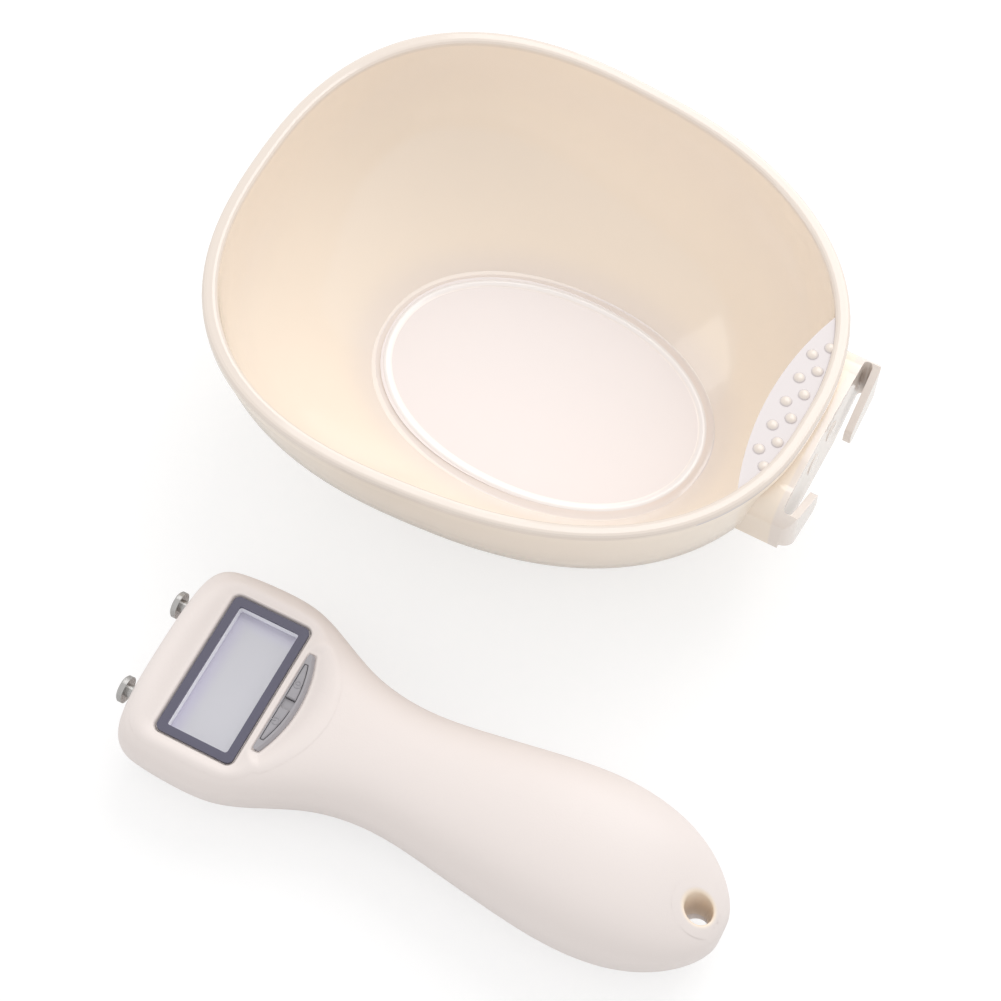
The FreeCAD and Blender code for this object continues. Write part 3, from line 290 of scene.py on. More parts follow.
def blend(tree, field, first, second):
    """Colour that runs from the first to the second: each is three numbers or a socket."""
    mix = tree.nodes.new("ShaderNodeMix")
    mix.data_type = "RGBA"
    for name, colour in (("A", first), ("B", second)):
        if isinstance(colour, tuple):
            mix.inputs[name].default_value = (*colour, 1.0)
        else:
            tree.links.new(colour, mix.inputs[name])
    tree.links.new(field, mix.inputs["Factor"])
    return mix.outputs["Result"]


def shade(colour, factor):
    """The same colour, darker or lighter."""
    return tuple(min(1.0, channel * factor) for channel in colour)


def two_tones(tree, shader, field, dark, light):
    """Base colour that runs from dark to light with a field."""
    tree.links.new(blend(tree, field, dark, light), shader.inputs["Base Color"])


def vary_tone(tree, shader, field, colour, change):
    """Base colour a little darker and lighter than a colour, by the same change."""
    two_tones(tree, shader, field, shade(colour, 1.0 - change), shade(colour, 1.0 + change))


def vary_roughness(tree, shader, field, low, high):
    """Roughness that runs from low to high with a field."""
    span = tree.nodes.new("ShaderNodeMapRange")
    span.inputs["To Min"].default_value = low
    span.inputs["To Max"].default_value = high
    tree.links.new(field, span.inputs["Value"])
    tree.links.new(span.outputs["Result"], shader.inputs["Roughness"])


def grain(tree, shader, field, depth):
    """Bump of a depth in metres."""
    bump = tree.nodes.new("ShaderNodeBump")
    bump.inputs["Distance"].default_value = depth
    bump.inputs["Strength"].default_value = 1.0
    tree.links.new(field, bump.inputs["Height"])
    tree.links.new(bump.outputs["Normal"], shader.inputs["Normal"])


print("noise is read in repeats per metre, bumps in metres: one um is", um)

# %% [markdown]
# The bowl is glossy cream plastic. Its floor is painted paler and a little pink, which is
# painted light where the lamp falls on it, and a paler band on the wall round the floor is a
# painted reflection of the floor. The rim, the thumb ledge and the bracket that is screwed
# to the bowl get darker, pinker tones, which are painted shade. Each of these places is
# found by its coordinates and gets its own tone, with soft borders between them. A real
# moulding has slow flow marks and is never quite even, so the tone and the gloss change a
# little over a few centimetres.

# %% Bowl plastic
cream = (0.955, 0.845, 0.725)
# Paler, pinker tone: painted light on the floor and painted reflection on the wall round it
painted_light_pink = (0.79, 0.725, 0.715)
# Darker, pinker tones: painted shade on the thumb ledge, the rim and the bracket
ledge_shade_pink = (0.665, 0.605, 0.60)
rim_shade_cream = (0.77, 0.68, 0.61)
bracket_shade_pink = (0.87, 0.785, 0.72)
flow_dark, flow_light = 0.985, 1.012
bracket_root = 60.0 * mm
bracket_border = 0.6 * mm
floor_top = 3.1 * mm
floor_border = 0.1 * mm
floor_centre = (3.4 * mm, 0.0)
floor_half_sizes = (36.3 * mm, 25.5 * mm)
# Shares of the floor's oval between which its painted light, and the painted reflection
# round it, fade out
floor_inside, floor_outside = 0.985, 1.01
# Where the painted reflection of the floor lies on the wall round it
reflection_inside, reflection_outside = 1.02, 1.3
reflection_low = 2.0 * mm
reflection_high = 9.0 * mm
reflection_share = 0.45
ledge_edge = 49.8 * mm
ledge_border = 0.4 * mm
ledge_low, ledge_full = 41.0 * mm, 41.2 * mm
ledge_fading, ledge_gone = 41.35 * mm, 41.72 * mm
rim_low = 40.9 * mm
rim_border = 0.8 * mm
rim_shade_share = 0.85
gloss_low, gloss_high = 0.1, 0.16
coat_weight = 0.6
coat_roughness = 0.04


def gloss(tree, shader):
    """The bowl's gloss: a smooth coat over plastic that is a little uneven below it."""
    vary_roughness(tree, shader, cloud(tree, 60.0), gloss_low, gloss_high)
    shader.inputs["Coat Weight"].default_value = coat_weight
    shader.inputs["Coat Roughness"].default_value = coat_roughness


def bowl_plastic():
    """Cream plastic with painted light at the floor, painted shade on the rim, ledge and
    bracket.
    """
    material, tree, shader = start_finish("bowl_plastic", cream, gloss_high)
    flow = cloud(tree, 28.0, 2.0)
    place = object_place(tree)
    reach = reach_from(tree, floor_centre, floor_half_sizes)
    # Painted light on the floor
    floor = join_fields(tree, "MULTIPLY", step_up(tree, reach, floor_outside, floor_inside),
                        step_up(tree, place["Z"], floor_top, floor_top - floor_border))
    # Painted reflection of the floor on the wall round it
    painted_reflection = join_fields(tree, "MULTIPLY", step_up(tree, reach, reflection_outside, reflection_inside),
                       step_up(tree, place["Z"], reflection_high, reflection_low, reflection_share))
    # Painted shade on the thumb ledge
    thumb = join_fields(tree, "MULTIPLY",
                        step_up(tree, place["X"], ledge_edge - ledge_border, ledge_edge),
                        step_up(tree, place["Z"], ledge_low, ledge_full),
                        step_up(tree, place["Z"], ledge_gone, ledge_fading))
    # Painted shade on the rim bead and on the bracket
    rim = step_up(tree, place["Z"], rim_low, rim_low + rim_border, rim_shade_share)
    bracket = step_up(tree, place["X"], bracket_root, bracket_root + bracket_border)
    tones = [blend(tree, flow, shade(colour, flow_dark), shade(colour, flow_light))
             for colour in (cream, painted_light_pink)]
    result = blend(tree, join_fields(tree, "MAXIMUM", floor, painted_reflection), *tones)
    for share, colour in ((rim, rim_shade_cream), (thumb, ledge_shade_pink), (bracket, bracket_shade_pink)):
        result = blend(tree, share, result, colour)
    tree.links.new(result, shader.inputs["Base Color"])
    gloss(tree, shader)
    grain(tree, shader, cloud(tree, 130.0, 2.0), 40.0 * um)
    return material


bowl_finish = bowl_plastic()
print("bowl plastic has", len(bowl_finish.node_tree.nodes), "nodes")

# %% [markdown]
# The handle is the same plastic with a satin skin that doesn't show fingers: rougher,
# with an etched grain of about a third of a millimetre.

# %% Handle plastic
warm_white = (0.815, 0.742, 0.71)
satin_roughness = 0.42


def satin(tree, shader):
    """The handle's skin: even roughness and a fine etched grain."""
    vary_roughness(tree, shader, cloud(tree, 90.0), satin_roughness - 0.04,
                   satin_roughness + 0.04)
    grain(tree, shader, cloud(tree, 3000.0, 1.0), 12.0 * um)


def handle_plastic():
    """Warm white plastic with slow flow marks and a satin skin."""
    material, tree, shader = start_finish("handle_plastic", warm_white, satin_roughness)
    two_tones(tree, shader, cloud(tree, 22.0, 2.0), shade(warm_white, flow_dark),
              shade(warm_white, flow_light))
    satin(tree, shader)
    return material


handle_finish = handle_plastic()
print("handle plastic has", len(handle_finish.node_tree.nodes), "nodes")

# %% [markdown]
# The border is a dark blue grey moulding. The pane over the display is clear: it lets
# light through and only mirrors a little, more so at a flat angle, which a Fresnel node
# gives. Only the side that light enters mirrors, so the display stays clear at a slant.
# The display itself is a grey film, painted darker and more violet along its front and far
# edges: painted shade from the border over it.

# %% Display finishes
border_blue = (0.098, 0.094, 0.138)
pane_tint = (0.98, 0.98, 1.0, 1.0)
pane_roughness = 0.04
pane_ior = 1.3
film_grey = (0.642, 0.638, 0.628)
# Painted shade along the front and far edges, under the border
film_shade_violet = (0.60, 0.575, 0.66)
film_front = -22.0 * mm
film_far = -74.9 * mm
film_fade = 4.0 * mm
film_shade_share = 0.6


def dark_border():
    """Dark satin moulding with a fine grain."""
    material, tree, shader = start_finish("dark_border", border_blue, 0.3)
    vary_tone(tree, shader, cloud(tree, 160.0), border_blue, 0.06)
    vary_roughness(tree, shader, cloud(tree, 400.0), 0.26, 0.36)
    grain(tree, shader, cloud(tree, 5000.0, 1.0), 6.0 * um)
    return material


def clear_pane():
    """Clear sheet: see-through, with a weak mirror on the side that faces the viewer."""
    material = bpy.data.materials.new("clear_pane")
    material.use_nodes = True
    tree = material.node_tree
    tree.nodes.clear()
    out = tree.nodes.new("ShaderNodeOutputMaterial")
    through = tree.nodes.new("ShaderNodeBsdfTransparent")
    through.inputs["Color"].default_value = pane_tint
    mirror = tree.nodes.new("ShaderNodeBsdfGlossy")
    mirror.inputs["Roughness"].default_value = pane_roughness
    fresnel = tree.nodes.new("ShaderNodeFresnel")
    fresnel.inputs["IOR"].default_value = pane_ior
    geometry = tree.nodes.new("ShaderNodeNewGeometry")
    front_share = tree.nodes.new("ShaderNodeMath")
    front_share.operation = "SUBTRACT"
    front_share.inputs[0].default_value = 1.0
    tree.links.new(geometry.outputs["Backfacing"], front_share.inputs[1])
    mirrored = join_fields(tree, "MULTIPLY", fresnel.outputs["Fac"], front_share.outputs[0])
    mix = tree.nodes.new("ShaderNodeMixShader")
    tree.links.new(mirrored, mix.inputs["Fac"])
    tree.links.new(through.outputs["BSDF"], mix.inputs[1])
    tree.links.new(mirror.outputs["BSDF"], mix.inputs[2])
    tree.links.new(mix.outputs["Shader"], out.inputs["Surface"])
    return material


def display_film():
    """Grey film with painted shade: darker and violet towards two of its edges, unevenly."""
    material, tree, shader = start_finish("display_film", film_grey, 0.35)
    place = object_place(tree)
    # Painted shade near the front and far edges, made uneven by a noise
    front = step_up(tree, place["X"], film_front + film_fade, film_front, film_shade_share)
    far = step_up(tree, place["Y"], film_far - film_fade, film_far, film_shade_share)
    edge = join_fields(tree, "MAXIMUM", front, far)
    drift = join_fields(tree, "MULTIPLY", edge, cloud(tree, 90.0, 2.0))
    two_tones(tree, shader, join_fields(tree, "ADD", edge, drift), film_grey, film_shade_violet)
    vary_roughness(tree, shader, cloud(tree, 200.0), 0.3, 0.4)
    return material


print("film fades over", round(film_fade / mm, 1), "mm")

# %% [markdown]
# The keys are mid grey. Their frame is a little lighter and smoother.

# %% Key finishes
key_grey = (0.345, 0.333, 0.354)
frame_grey = (0.36, 0.345, 0.365)


def key_plastic():
    """Matt grey plastic of the keys."""
    material, tree, shader = start_finish("key_plastic", key_grey, 0.5)
    vary_tone(tree, shader, cloud(tree, 500.0), key_grey, 0.05)
    vary_roughness(tree, shader, cloud(tree, 700.0), 0.42, 0.55)
    grain(tree, shader, cloud(tree, 6000.0, 1.0), 12.0 * um)
    return material


def key_frame_plastic():
    """Smoother grey plastic of the frame round the keys."""
    material, tree, shader = start_finish("key_frame_plastic", frame_grey, 0.36)
    vary_tone(tree, shader, cloud(tree, 400.0), frame_grey, 0.04)
    vary_roughness(tree, shader, cloud(tree, 500.0), 0.3, 0.42)
    grain(tree, shader, cloud(tree, 5000.0, 1.0), 8.0 * um)
    return material


print("key grey", key_grey, "frame grey", frame_grey)

# %% [markdown]
# The studs are turned steel: fine rings run round their axis. Stretching the noise along
# one axis gives brushed or turned marks.

# %% Metal finishes
steel_grey = (0.45, 0.44, 0.43)
aluminium_grey = (0.78, 0.78, 0.79)
turned_stretch = (6.0, 0.6, 0.6)
milled_stretch = (0.5, 8.0, 1.0)


def turned_steel():
    """Bright steel with rings round the X axis."""
    material, tree, shader = start_finish("turned_steel", steel_grey, 0.28, 1.0)
    rings = cloud(tree, 900.0, 2.0, turned_stretch)
    two_tones(tree, shader, rings, shade(steel_grey, 0.85), shade(steel_grey, 1.1))
    vary_roughness(tree, shader, rings, 0.2, 0.38)
    grain(tree, shader, rings, 6.0 * um)
    return material


def milled_aluminium():
    """Aluminium with the marks of a cutter across the beam."""
    material, tree, shader = start_finish("milled_aluminium", aluminium_grey, 0.35, 1.0)
    marks = cloud(tree, 500.0, 2.0, milled_stretch)
    two_tones(tree, shader, marks, shade(aluminium_grey, 0.9), aluminium_grey)
    vary_roughness(tree, shader, marks, 0.28, 0.45)
    grain(tree, shader, marks, 6.0 * um)
    return material


print("steel", steel_grey, "aluminium", aluminium_grey)

# %% [markdown]
# The parts inside the handle are plainer, but each still has its own stuff: green solder
# mask with copper runs under it, black resin, white tray plastic, grey rubber, brown
# gauge film, red wire cover and the dark sleeves of the two cells.

# %% Inner finishes
mask_green = (0.03, 0.20, 0.09)
roughness_change = 0.06
# Each row: colour, roughness, repeats per metre, change of tone, depth of its bump
plain_stuffs = {
    "black_resin": ((0.02, 0.02, 0.022), 0.45, 900.0, 0.2, 20.0 * um),
    "white_plastic": ((0.8, 0.8, 0.78), 0.45, 300.0, 0.02, 10.0 * um),
    "grey_rubber": ((0.12, 0.12, 0.125), 0.7, 1500.0, 0.1, 30.0 * um),
    "gauge_film": ((0.5, 0.24, 0.05), 0.35, 2500.0, 0.3, 10.0 * um),
    "wire_cover": ((0.45, 0.02, 0.02), 0.4, 800.0, 0.05, 10.0 * um),
    "cell_sleeve": ((0.02, 0.025, 0.05), 0.25, 200.0, 0.1, 10.0 * um),
}


def speckled(name, colour, roughness, scale, change, depth):
    """Plain stuff with a small change of tone and a fine bump."""
    material, tree, shader = start_finish(name, colour, roughness)
    field = cloud(tree, scale)
    vary_tone(tree, shader, field, colour, change)
    vary_roughness(tree, shader, field, roughness - roughness_change,
                   roughness + roughness_change)
    grain(tree, shader, field, depth)
    return material


def solder_mask():
    """Green mask over copper runs, which show as straight lighter bands."""
    material, tree, shader = start_finish("solder_mask", mask_green, 0.3)
    coords = tree.nodes.new("ShaderNodeTexCoord")
    waves = tree.nodes.new("ShaderNodeTexWave")
    waves.inputs["Scale"].default_value = 160.0
    waves.inputs["Distortion"].default_value = 1.5
    tree.links.new(coords.outputs["Object"], waves.inputs["Vector"])
    two_tones(tree, shader, waves.outputs["Fac"], shade(mask_green, 0.8),
              shade(mask_green, 1.4))
    grain(tree, shader, waves.outputs["Fac"], 30.0 * um)
    return material


finishes = {
    "bowl_plastic": bowl_finish,
    "handle_plastic": handle_finish,
    "dark_border": dark_border(),
    "clear_pane": clear_pane(),
    "display_glass": display_film(),
    "key_grey": key_plastic(),
    "key_rim_grey": key_frame_plastic(),
    "steel": turned_steel(),
    "beam_aluminium": milled_aluminium(),
    "board_green": solder_mask(),
}
for name, stuff in plain_stuffs.items():
    finishes[name] = speckled(name, *stuff)
print(len(finishes), "finishes")

# %% [markdown]
# The part's record says what every solid is made of, by the name of its material slot. A
# table from slot to finish is enough to dress them all, and no solid can be forgotten.

# %% Put the finishes on the solids
slot_of = {part["node"]: part["material_slot"] for part in frame["record"]["subparts"]}
for name, node in nodes.items():
    node.data.materials.clear()
    node.data.materials.append(finishes[slot_of[name]])
print(len(nodes), "nodes finished")

# %% [markdown]
# New pieces are surfaces worked out with numpy. A surface is a grid of points: rows run
# along it, columns run across it, and a face joins each four neighbours. A grid whose rows
# are rings also closes on itself. The helpers below turn such grids into mesh objects.

# %% Tools for surfaces
soft_crease = math.radians(40.0)


def grid_faces(rows, columns, closed=False):
    """Four corner numbers of each cell of a grid of points, row by row."""
    numbers = np.arange(rows * columns).reshape(rows, columns)
    if closed:
        numbers = np.concatenate([numbers, numbers[:, :1]], axis=1)
    return np.stack([numbers[:-1, :-1], numbers[:-1, 1:], numbers[1:, 1:], numbers[1:, :-1]],
                    axis=-1)


def ring_faces(rings):
    """Faces of a grid whose rows are closed rings."""
    return grid_faces(rings.shape[0], rings.shape[1], closed=True).reshape(-1, 4)


def join_surfaces(pieces):
    """Several grids of points and their faces as one list."""
    points, faces, first = [], [], 0
    for piece_points, piece_faces in pieces:
        flat = piece_points.reshape(-1, 3)
        points.append(flat)
        faces.append(piece_faces + first)
        first += len(flat)
    return np.concatenate(points), np.concatenate(faces)


def put_piece(name, mesh, body, finish):
    """Object for a mesh, riding on a body, with a finish for a material slot."""
    mesh.materials.append(finish)
    piece = bpy.data.objects.new(name, mesh)
    scene.collection.objects.link(piece)
    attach(piece, body)
    return piece


def put_surface(name, points, faces, body, finish):
    """Mesh object from points in millimetres and faces, on a body, with a finish."""
    mesh = bpy.data.meshes.new(name)
    used, faces = np.unique(faces, return_inverse=True)
    faces = faces.reshape(-1, 4)
    mesh.from_pydata(points.reshape(-1, 3)[used] * mm, [], faces.tolist())
    mesh.validate()
    mesh.shade_smooth()
    mesh.set_sharp_from_angle(angle=soft_crease)
    print(name, len(mesh.polygons), "faces")
    return put_piece(name, mesh, body, finish)


print("edges over", round(math.degrees(soft_crease)), "degrees stay sharp")

# %% [markdown]
# The handle's outside is a row of cross sections, each made of four quarter curves. The
# same few sizes per station give its upper surface here as a height over the table, so
# that the soft hollow round the display can be laid into it exactly. The sizes between
# two stations come from a smooth cubic curve through them all.

# %% Height of the handle's back
# Sizes of the whole handle, in millimetres
handle_front = -31.07
handle_axis = -88.23
handle_length = 115.4
handle_half_width = 21.1
handle_height = 26.0
# One column per station: its place, half width, top, height of its widest line, fullness
place_shares = np.array([0.0, 0.007, 0.021, 0.052, 0.119, 0.188, 0.257, 0.327, 0.431, 0.535,
                         0.639, 0.743, 0.829, 0.899, 0.95, 0.982, 0.997])
width_shares = np.array([0.7, 0.835, 0.925, 0.975, 1.0, 0.972, 0.826, 0.66, 0.569, 0.621,
                         0.706, 0.77, 0.751, 0.648, 0.485, 0.306, 0.13])
top_shares = np.array([0.715, 0.769, 0.8, 0.808, 0.808, 0.808, 0.815, 0.831, 0.862, 0.908,
                       0.97, 1.0, 0.962, 0.87, 0.746, 0.638, 0.53])
side_shares = np.array([0.486, 0.5, 0.514, 0.527, 0.527, 0.527, 0.531, 0.539, 0.55, 0.563,
                        0.585, 0.6, 0.586, 0.558, 0.522, 0.489, 0.465])
full_shares = np.array([0.75, 0.75, 0.75, 0.75, 0.75, 0.75, 0.72, 0.68, 0.64, 0.64, 0.64,
                        0.64, 0.64, 0.64, 0.64, 0.64, 0.64])
chord_power = 0.75
fine_count = 4001
halvings = 30


def smooth_through(steps, values, at):
    """Cubic curve through values at uneven steps, with no bend at its ends."""
    gaps = np.diff(steps)
    count = len(steps)
    inner = np.arange(1, count - 1)
    system = np.zeros((count, count))
    right = np.zeros(count)
    system[inner, inner - 1] = gaps[:-1]
    system[inner, inner] = 2.0 * (gaps[:-1] + gaps[1:])
    system[inner, inner + 1] = gaps[1:]
    slopes = np.diff(values) / gaps
    right[inner] = 6.0 * np.diff(slopes)
    system[0, 0] = system[-1, -1] = 1.0
    bends = np.linalg.solve(system, right)
    cell = np.clip(np.searchsorted(steps, at) - 1, 0, count - 2)
    before, after, gap = at - steps[cell], steps[cell + 1] - at, gaps[cell]
    curve = (bends[cell] * after ** 3 + bends[cell + 1] * before ** 3) / (6.0 * gap)
    curve += (values[cell] / gap - bends[cell] * gap / 6.0) * after
    return curve + (values[cell + 1] / gap - bends[cell + 1] * gap / 6.0) * before


def section_sizes():
    """Stations and their sizes in millimetres at many even steps along the handle."""
    columns = [place_shares * handle_length, width_shares * handle_half_width,
               top_shares * handle_height, side_shares * handle_height, full_shares]
    reach_shares = np.linspace(0.0, 1.0, 5)
    across = columns[1][:, None] * reach_shares
    rise = (columns[2] - columns[3])[:, None] * np.sqrt(1.0 - reach_shares ** 2)
    height = columns[3][:, None] + rise
    along = np.repeat(columns[0][:, None], len(reach_shares), axis=1)
    moved = np.diff(np.stack([along, across, height], axis=-1), axis=0)
    chords = np.linalg.norm(moved, axis=-1).mean(axis=1) ** chord_power
    steps = np.concatenate([[0.0], np.cumsum(chords)])
    at = np.linspace(0.0, steps[-1], fine_count)
    return [smooth_through(steps, column, at) for column in columns]


fine_stations, fine_width, fine_top, fine_side, fine_full = section_sizes()


def back_height(station, offset):
    """Height of the handle's back over a place: the quarter curve's height where its
    distance from the axis is the offset, found by halving the span of its parameter."""
    width, top, side, full = (np.interp(station, fine_stations, column) for column in
                              (fine_width, fine_top, fine_side, fine_full))
    wanted = np.clip(np.abs(offset) / width, 0.0, 1.0)
    low, high = np.zeros_like(wanted), np.ones_like(wanted)
    for _ in range(halvings):
        middle = 0.5 * (low + high)
        rest = 1.0 - middle
        reached = rest ** 3 + 3.0 * rest ** 2 * middle + 3.0 * rest * middle ** 2 * full
        nearer = reached > wanted
        low, high = np.where(nearer, middle, low), np.where(nearer, high, middle)
    rest = 1.0 - low
    rise = 3.0 * rest ** 2 * low * full + 3.0 * rest * low ** 2 + low ** 3
    return side + rise * (top - side)


print("highest point of the back", round(float(fine_top.max()), 2), "mm")

# %% [markdown]
# On the real handle the display sits in a hollow with soft edges: the back falls gently
# towards the dark border from the front, and less from the sides and from the keys. The
# hollow is a second height, low at the border and rising away from it. The lower of the
# two heights is taken, with a rounded change from one to the other, which is how a soft
# edge is made with a formula. A thin groove is left beside the border and the key frame.
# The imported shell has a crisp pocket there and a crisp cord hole, so a merged copy of it is
# used without those faces, and the new surface closes the gap.

# %% Soft hollow round the display
display_station = 15.5
frame_half_length = 8.0
frame_half_width = 15.0
frame_corner = 1.2
keys_front = 25.6
keys_half_width = 10.5
keys_rise = 3.55
keys_radius = 25.1
keys_centre = keys_front + keys_rise - keys_radius
lip_height = 18.9
keys_lip_height = 19.25
groove_floor = 17.85
groove_width = 0.26
keys_groove_floor = 18.8
keys_groove_width = 0.1
lip_round = 0.45
front_slope = 0.58
side_slope = 0.75
rear_slope = 0.75
slope_start = 0.6
valley_round = 0.3
soft_edge = 1.3
skin_lift = 0.03
grid_step = 0.2
head_front, head_rear = 0.6, 40.0
head_half_width = 20.8
skirt = 0.8
under_frame = 0.9
under_keys = 0.5

cord_station = 110.0
cord_radius = 2.7
cord_mouth_radius = 3.9
cord_wall_radius = cord_radius + 0.05
cord_mouth_depth = 0.6
dropped_front, dropped_rear = 0.8, 39.0
dropped_above = 17.75
facing_down = -0.5
merge_distance = 1.0 * um
crisp_crease = math.radians(30.0)
flat_front = -0.99999


def lower_of(first, second, softness):
    """The lower of two heights, with a rounded change where they are close."""
    near = np.clip(softness - np.abs(first - second), 0.0, None) / softness
    return np.minimum(first, second) - near ** 2 * softness / 4.0


def frame_distance(station, offset):
    """Distance outside the border's rounded outline, negative inside it."""
    x = np.abs(station - display_station) - frame_half_length + frame_corner
    y = np.abs(offset) - frame_half_width + frame_corner
    outside = np.hypot(np.clip(x, 0.0, None), np.clip(y, 0.0, None))
    return outside + np.clip(np.maximum(x, y), None, 0.0) - frame_corner


def keys_distance(station, offset):
    """Distance outside the key frame's crescent, negative inside it."""
    arc = np.hypot(station - keys_centre, offset) - keys_radius
    flat = keys_front - station
    end = np.abs(offset) - keys_half_width
    return np.maximum(np.maximum(arc, flat), end)


def lip(distance, height, slope, floor, width):
    """Height beside an edge: a groove, a rounded lip, then an even slope."""
    rise = np.clip((distance - width) / lip_round, 0.0, 1.0)
    rounded = floor + (height - floor) * np.sqrt(1.0 - (1.0 - rise) ** 2)
    away = np.clip(distance - width - lip_round, 0.0, None)
    return rounded + slope * away ** 2 / (away + slope_start)


def hollow_height(station, offset):
    """Height of the hollow round the border and the keys."""
    ahead = np.clip((display_station - station) / frame_half_length, 0.0, 1.0) ** 2
    slope = rear_slope + (front_slope - rear_slope) * ahead
    beside = np.clip(np.abs(offset) / frame_half_width, 0.0, 1.0) ** 8
    slope = slope + (side_slope - slope) * beside * (1.0 - ahead)
    by_frame = lip(frame_distance(station, offset), lip_height, slope, groove_floor,
                   groove_width)
    by_keys = lip(keys_distance(station, offset), keys_lip_height, rear_slope,
                  keys_groove_floor, keys_groove_width)
    return lower_of(by_frame, by_keys, valley_round)


def soft_back():
    """Grid over the head with the lower of back and hollow as its height."""
    stations = np.arange(head_front, head_rear, grid_step)
    offsets = np.arange(-head_half_width, head_half_width + 0.01, grid_step)
    station, offset = np.meshgrid(stations, offsets, indexing="ij")
    back = back_height(station, offset) + skin_lift
    hollow = hollow_height(station, offset)
    height = lower_of(back, hollow, soft_edge)
    points = np.stack([handle_front + station, handle_axis + offset, height], axis=-1)
    wanted = hollow < back + soft_edge + skirt
    wanted &= frame_distance(station, offset) > -under_frame
    wanted &= keys_distance(station, offset) > -under_keys
    faces = grid_faces(*station.shape)
    whole = wanted.reshape(-1)[faces].all(axis=-1)
    return points, faces[whole]


def edge_flat_front(mesh):
    """Marks the outline of the flat front as sharp, so that it is shaded flat."""
    normals = np.empty(len(mesh.polygons) * 3)
    sizes = np.empty(len(mesh.polygons), dtype=np.int32)
    edges = np.empty(len(mesh.loops), dtype=np.int32)
    sharp = np.empty(len(mesh.edges), dtype=bool)
    mesh.polygons.foreach_get("normal", normals)
    mesh.polygons.foreach_get("loop_total", sizes)
    mesh.loops.foreach_get("edge_index", edges)
    mesh.edges.foreach_get("use_edge_sharp", sharp)
    flat = np.repeat(normals.reshape(-1, 3)[:, 0] < flat_front, sizes)
    flat_faces = np.bincount(edges, weights=flat, minlength=len(sharp))
    all_faces = np.bincount(edges, minlength=len(sharp))
    mesh.edges.foreach_set("use_edge_sharp", sharp | ((flat_faces == 1) & (all_faces == 2)))


def drop_faces(name, node_name, keep, body, finish):
    """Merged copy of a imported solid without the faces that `keep` refuses."""
    shape = bmesh.new()
    shape.from_mesh(nodes[node_name].data)
    bmesh.ops.remove_doubles(shape, verts=shape.verts, dist=merge_distance)
    mesh = bpy.data.meshes.new(name)
    shape.to_mesh(mesh)
    count = len(mesh.polygons)
    centres = np.empty(count * 3)
    normals = np.empty(count * 3)
    mesh.polygons.foreach_get("center", centres)
    mesh.polygons.foreach_get("normal", normals)
    kept = keep(centres.reshape(-1, 3) / mm, normals.reshape(-1, 3))
    shape.faces.ensure_lookup_table()
    bmesh.ops.delete(shape, geom=[shape.faces[index] for index in np.flatnonzero(~kept)],
                     context="FACES")
    shape.to_mesh(mesh)
    shape.free()
    mesh.shade_smooth()
    mesh.set_sharp_from_angle(angle=crisp_crease)
    edge_flat_front(mesh)
    print(name, count, "faces,", int((~kept).sum()), "left out")
    return put_piece(name, mesh, body, finish)


def outside_hollow(centres, normals):
    """True for faces that stay: all but the crisp pocket, the back over it and the edge of
    the hole for a cord."""
    station = centres[:, 0] - handle_front
    offset = centres[:, 1] - handle_axis
    back = back_height(station, offset)
    dug = hollow_height(station, offset) < back + soft_edge
    on_head = (station > dropped_front) & (station < dropped_rear)
    crisp = dug & on_head & (centres[:, 2] > dropped_above) & (normals[:, 2] > facing_down)
    from_hole = np.hypot(station - cord_station, offset)
    mouth = (from_hole < cord_mouth_radius) & (centres[:, 2] > back - cord_mouth_depth)
    mouth |= from_hole < cord_wall_radius
    return ~(crisp | mouth)


shell_copy = drop_faces("top_moulding", "top_shell", outside_hollow, "handle",
                        handle_finish)
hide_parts("top_shell")
soft_points, soft_faces = soft_back()
put_surface("display_surround", soft_points, soft_faces, "handle",
            handle_finish)

# %% [markdown]
# Under the border's edge the window has a pale gasket that presses the clear pane against
# the frame. Its near white is a painted highlight: seen at a slant it shows as a thin bright
# line along the two sides that face the camera. It is a flat band bent round a rounded
# rectangle.

# %% Window gasket
window_half_length = 6.3
window_half_width = 13.3
window_corner = 0.6
gasket_low = 16.65
gasket_high = 17.97
gasket_wall = 0.28
gasket_lean = 0.22
# Near white: a painted highlight for the bright line along the window
gasket_highlight_white = (0.96, 0.96, 0.98)


def rounded_outline(half_length, half_width, corner, per_corner=8):
    """Points round a rectangle with quarter circles at its corners."""
    turn = np.linspace(0.0, math.pi / 2.0, per_corner)
    points = []
    for quarter, (sx, sy) in enumerate(((1, 1), (-1, 1), (-1, -1), (1, -1))):
        angle = turn + quarter * math.pi / 2.0
        points.append(np.stack([sx * (half_length - corner) + corner * np.cos(angle),
                                sy * (half_width - corner) + corner * np.sin(angle)], axis=-1))
    return np.concatenate(points)


def band(profile, half_length, half_width, corner, centre):
    """A profile of (distance out, height) carried round a rounded rectangle."""
    rings = []
    for out, height in profile:
        ring = rounded_outline(half_length + out, half_width + out, corner + out)
        rings.append(np.column_stack([ring + centre, np.full(len(ring), height)]))
    points = np.array(rings)
    return points, ring_faces(points)


display_centre = np.array([handle_front + display_station, handle_axis])
gasket_profile = ((gasket_wall, gasket_low), (gasket_wall, gasket_high), (0.0, gasket_high),
                  (-gasket_lean, gasket_low), (gasket_wall, gasket_low))
gasket_points, gasket_faces = band(gasket_profile, window_half_length, window_half_width,
                                   window_corner, display_centre)
gasket_finish = speckled("gasket_highlight_white", gasket_highlight_white, 0.3, 600.0, 0.01, 5.0 * um)
put_surface("window_gasket", gasket_points, gasket_faces, "handle",
            gasket_finish)

# %% [markdown]
# The bowl's flat floor ends in a soft raised edge. It catches the lamp as a bright ring, and
# is painted white on its crown as well, a painted highlight, and pink on the slope outside, a
# painted reflection of the floor.
# The ring follows the floor's own outline, which is an oval a little fuller than an
# ellipse, and its profile is a low wave that runs out on both sides. Where the step ends
# is read from the imported bowl, so that the ring sits on it.

